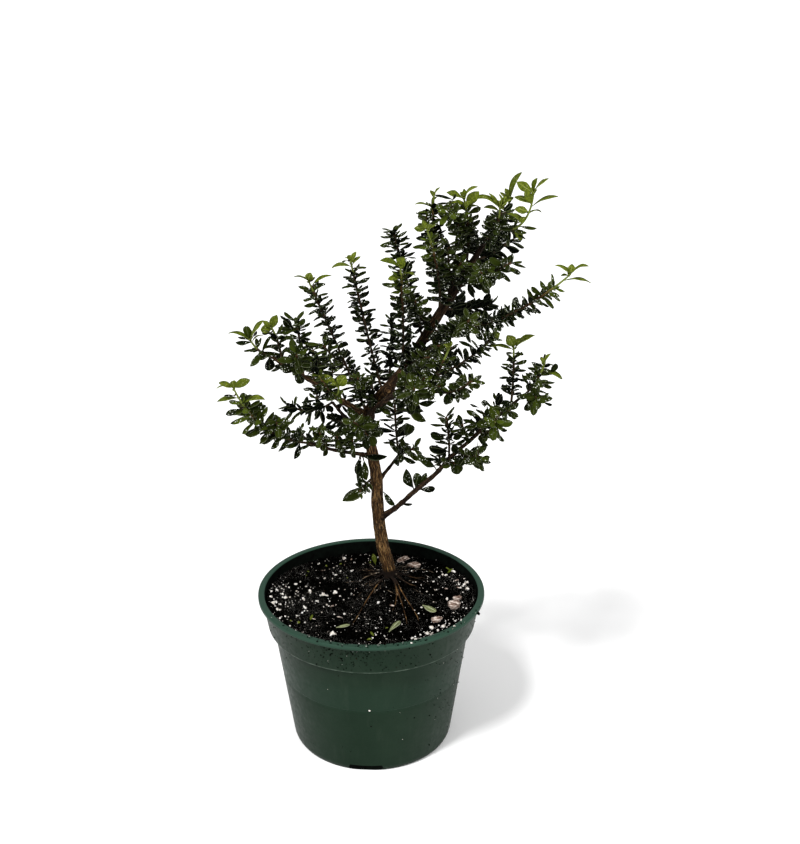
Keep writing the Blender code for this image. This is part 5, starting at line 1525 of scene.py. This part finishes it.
def makeLitter():
    dry, chip = dryLeaf(), barkChip()
    for name, ((x, y), headingDegrees, length) in fallenPlan.items():
        luck = random.Random(name)
        foliage = Foliage(dict(leafPlan, rows=14, columns=6, fold=0.16, droop=16.0, width=0.36))
        heading = towards(math.radians(headingDegrees))
        start = Vector((x, y, 0)) - heading * length / 2
        start.z = max(soilHeight(p.x, p.y) for p in (start, start + heading * length)) + 1.1
        foliage.leaf(start, heading, up, length, 0.0, luck)
        foliage.piece("dry_" + name, [dry], "fallen_leaf", name)

    luck = random.Random(chipPlan["seed"])
    chips = Scatter()
    for (x, y), headingDegrees, length, width, height in chipPlan["chips"]:
        points, faces = ballShapes[3]
        seed = Vector([luck.uniform(-50, 50) for _ in range(3)])
        swell = []
        for p in points:
            lumps = 1 + 0.45 * noise.noise(Vector(p) * 1.3 + seed)
            swell.append(lumps + 0.15 * noise.noise(Vector(p) * 4 + seed))
        blocky = np.sign(points) * np.abs(points) ** 0.7
        shaped = blocky * np.array(swell)[:, None] * np.array([length, width, height]) / 2
        shaped = shaped @ aboutZ(math.radians(headingDegrees)).T
        chips.add(shaped + np.array([x, y, soilHeight(x, y) + height * 0.22]), faces)
    for _ in range(chipPlan["slivers"]):
        x, y = somewhere(luck, 4)
        if clearOfTrunk(x, y, 9):
            size = luck.uniform(1.2, 3.6)
            points, faces = roughGrain(luck, size, (1.8, 0.55, 0.3), 2, 0.4)
            chips.add(points + np.array([x, y, soilTop(x, y) + 0.3]), faces)
    chips.piece("bark_chips", chip, "potting_soil")

    scraps = Foliage(dict(leafPlan, rows=6, columns=2, fold=0.2, droop=30.0))
    for _ in range(chipPlan["scraps"]):
        x, y = somewhere(luck, 6)
        turn = luck.uniform(0, math.tau)
        if clearOfTrunk(x, y, 9):
            heading = towards(turn, luck.uniform(-0.1, 0.3))
            place = Vector((x, y, soilTop(x, y) + 0.6))
            scraps.leaf(place, heading, up, luck.uniform(1.6, 4.5), 0.6, luck)
    for (x, y), headingDegrees, steep, length in chipPlan["greens"]:
        heading = towards(math.radians(headingDegrees), steep)
        scraps.leaf(Vector((x, y, soilTop(x, y) + 0.4)), heading, up - heading * 0.5, length, 0.2, luck)
    scraps.piece("green_scraps", [youngLeaf], "fallen_leaf")


makeLitter()
print("litter laid")


# The studio: a pale floor, soft light and the camera of the photograph

studioPlan = {
    "floorSize": 60.0, "floorTone": 0.9, "world": 0.72, "sunStrength": 2.9, "sunAngle": 12.0,
    "sunFrom": (-0.45, -0.55, 1.0), "fillStrength": 14.0, "fillFrom": (0.9, -1.3, 0.9), "fillSize": 0.8,
    "fillTo": (0, 0, 0.2),
}
cameraPlan = {"at": (0.0209, -0.7897, 0.5486), "pitch": 20.9, "lens": 52.0, "sensor": 36.0}


def makeStudio():
    size = studioPlan["floorSize"] / 2
    corners = [(-size, -size, 0), (size, -size, 0), (size, size, 0), (-size, size, 0)]
    floor = buildMesh("floor", np.array(corners) / mm, [(0, 1, 2, 3)], [], False)
    paper = Finish("floorPaper", Roughness=0.9, Specular_IOR_Level=0.1)
    tone = studioPlan["floorTone"]
    grain = paper.ramp(paper.grain(0.01, 2.0), (0.0, (tone,) * 3), (1.0, (tone + 0.02,) * 3))
    paper.set(paper.shader, {"Base_Color": grain})
    floor.data.materials.append(paper.material)

    world = bpy.data.worlds.new("studioWorld")
    world.use_nodes = True
    sky = world.node_tree.nodes["Background"].inputs
    sky["Color"].default_value = (1, 1, 1, 1)
    sky["Strength"].default_value = studioPlan["world"]
    bpy.context.scene.world = world

    sun = bpy.data.lights.new("key", "SUN")
    sun.energy, sun.angle = studioPlan["sunStrength"], math.radians(studioPlan["sunAngle"])
    key = bpy.data.objects.new("key", sun)
    key.rotation_euler = Vector(studioPlan["sunFrom"]).to_track_quat("Z", "Y").to_euler()
    soft = bpy.data.lights.new("fill", "AREA")
    soft.energy, soft.size = studioPlan["fillStrength"], studioPlan["fillSize"]
    fill = bpy.data.objects.new("fill", soft)
    fill.location = studioPlan["fillFrom"]
    back = fill.location - Vector(studioPlan["fillTo"])
    fill.rotation_euler = back.to_track_quat("Z", "Y").to_euler()
    lens = bpy.data.cameras.new("camera")
    lens.lens, lens.sensor_width = cameraPlan["lens"], cameraPlan["sensor"]
    camera = bpy.data.objects.new("camera", lens)
    camera.location = cameraPlan["at"]
    camera.rotation_euler = (math.radians(90 - cameraPlan["pitch"]), 0, 0)
    for made in (key, fill, camera):
        bpy.context.scene.collection.objects.link(made)
    bpy.context.scene.camera = camera
    bpy.context.scene.view_settings.view_transform = "Standard"


makeStudio()
print("studio set")
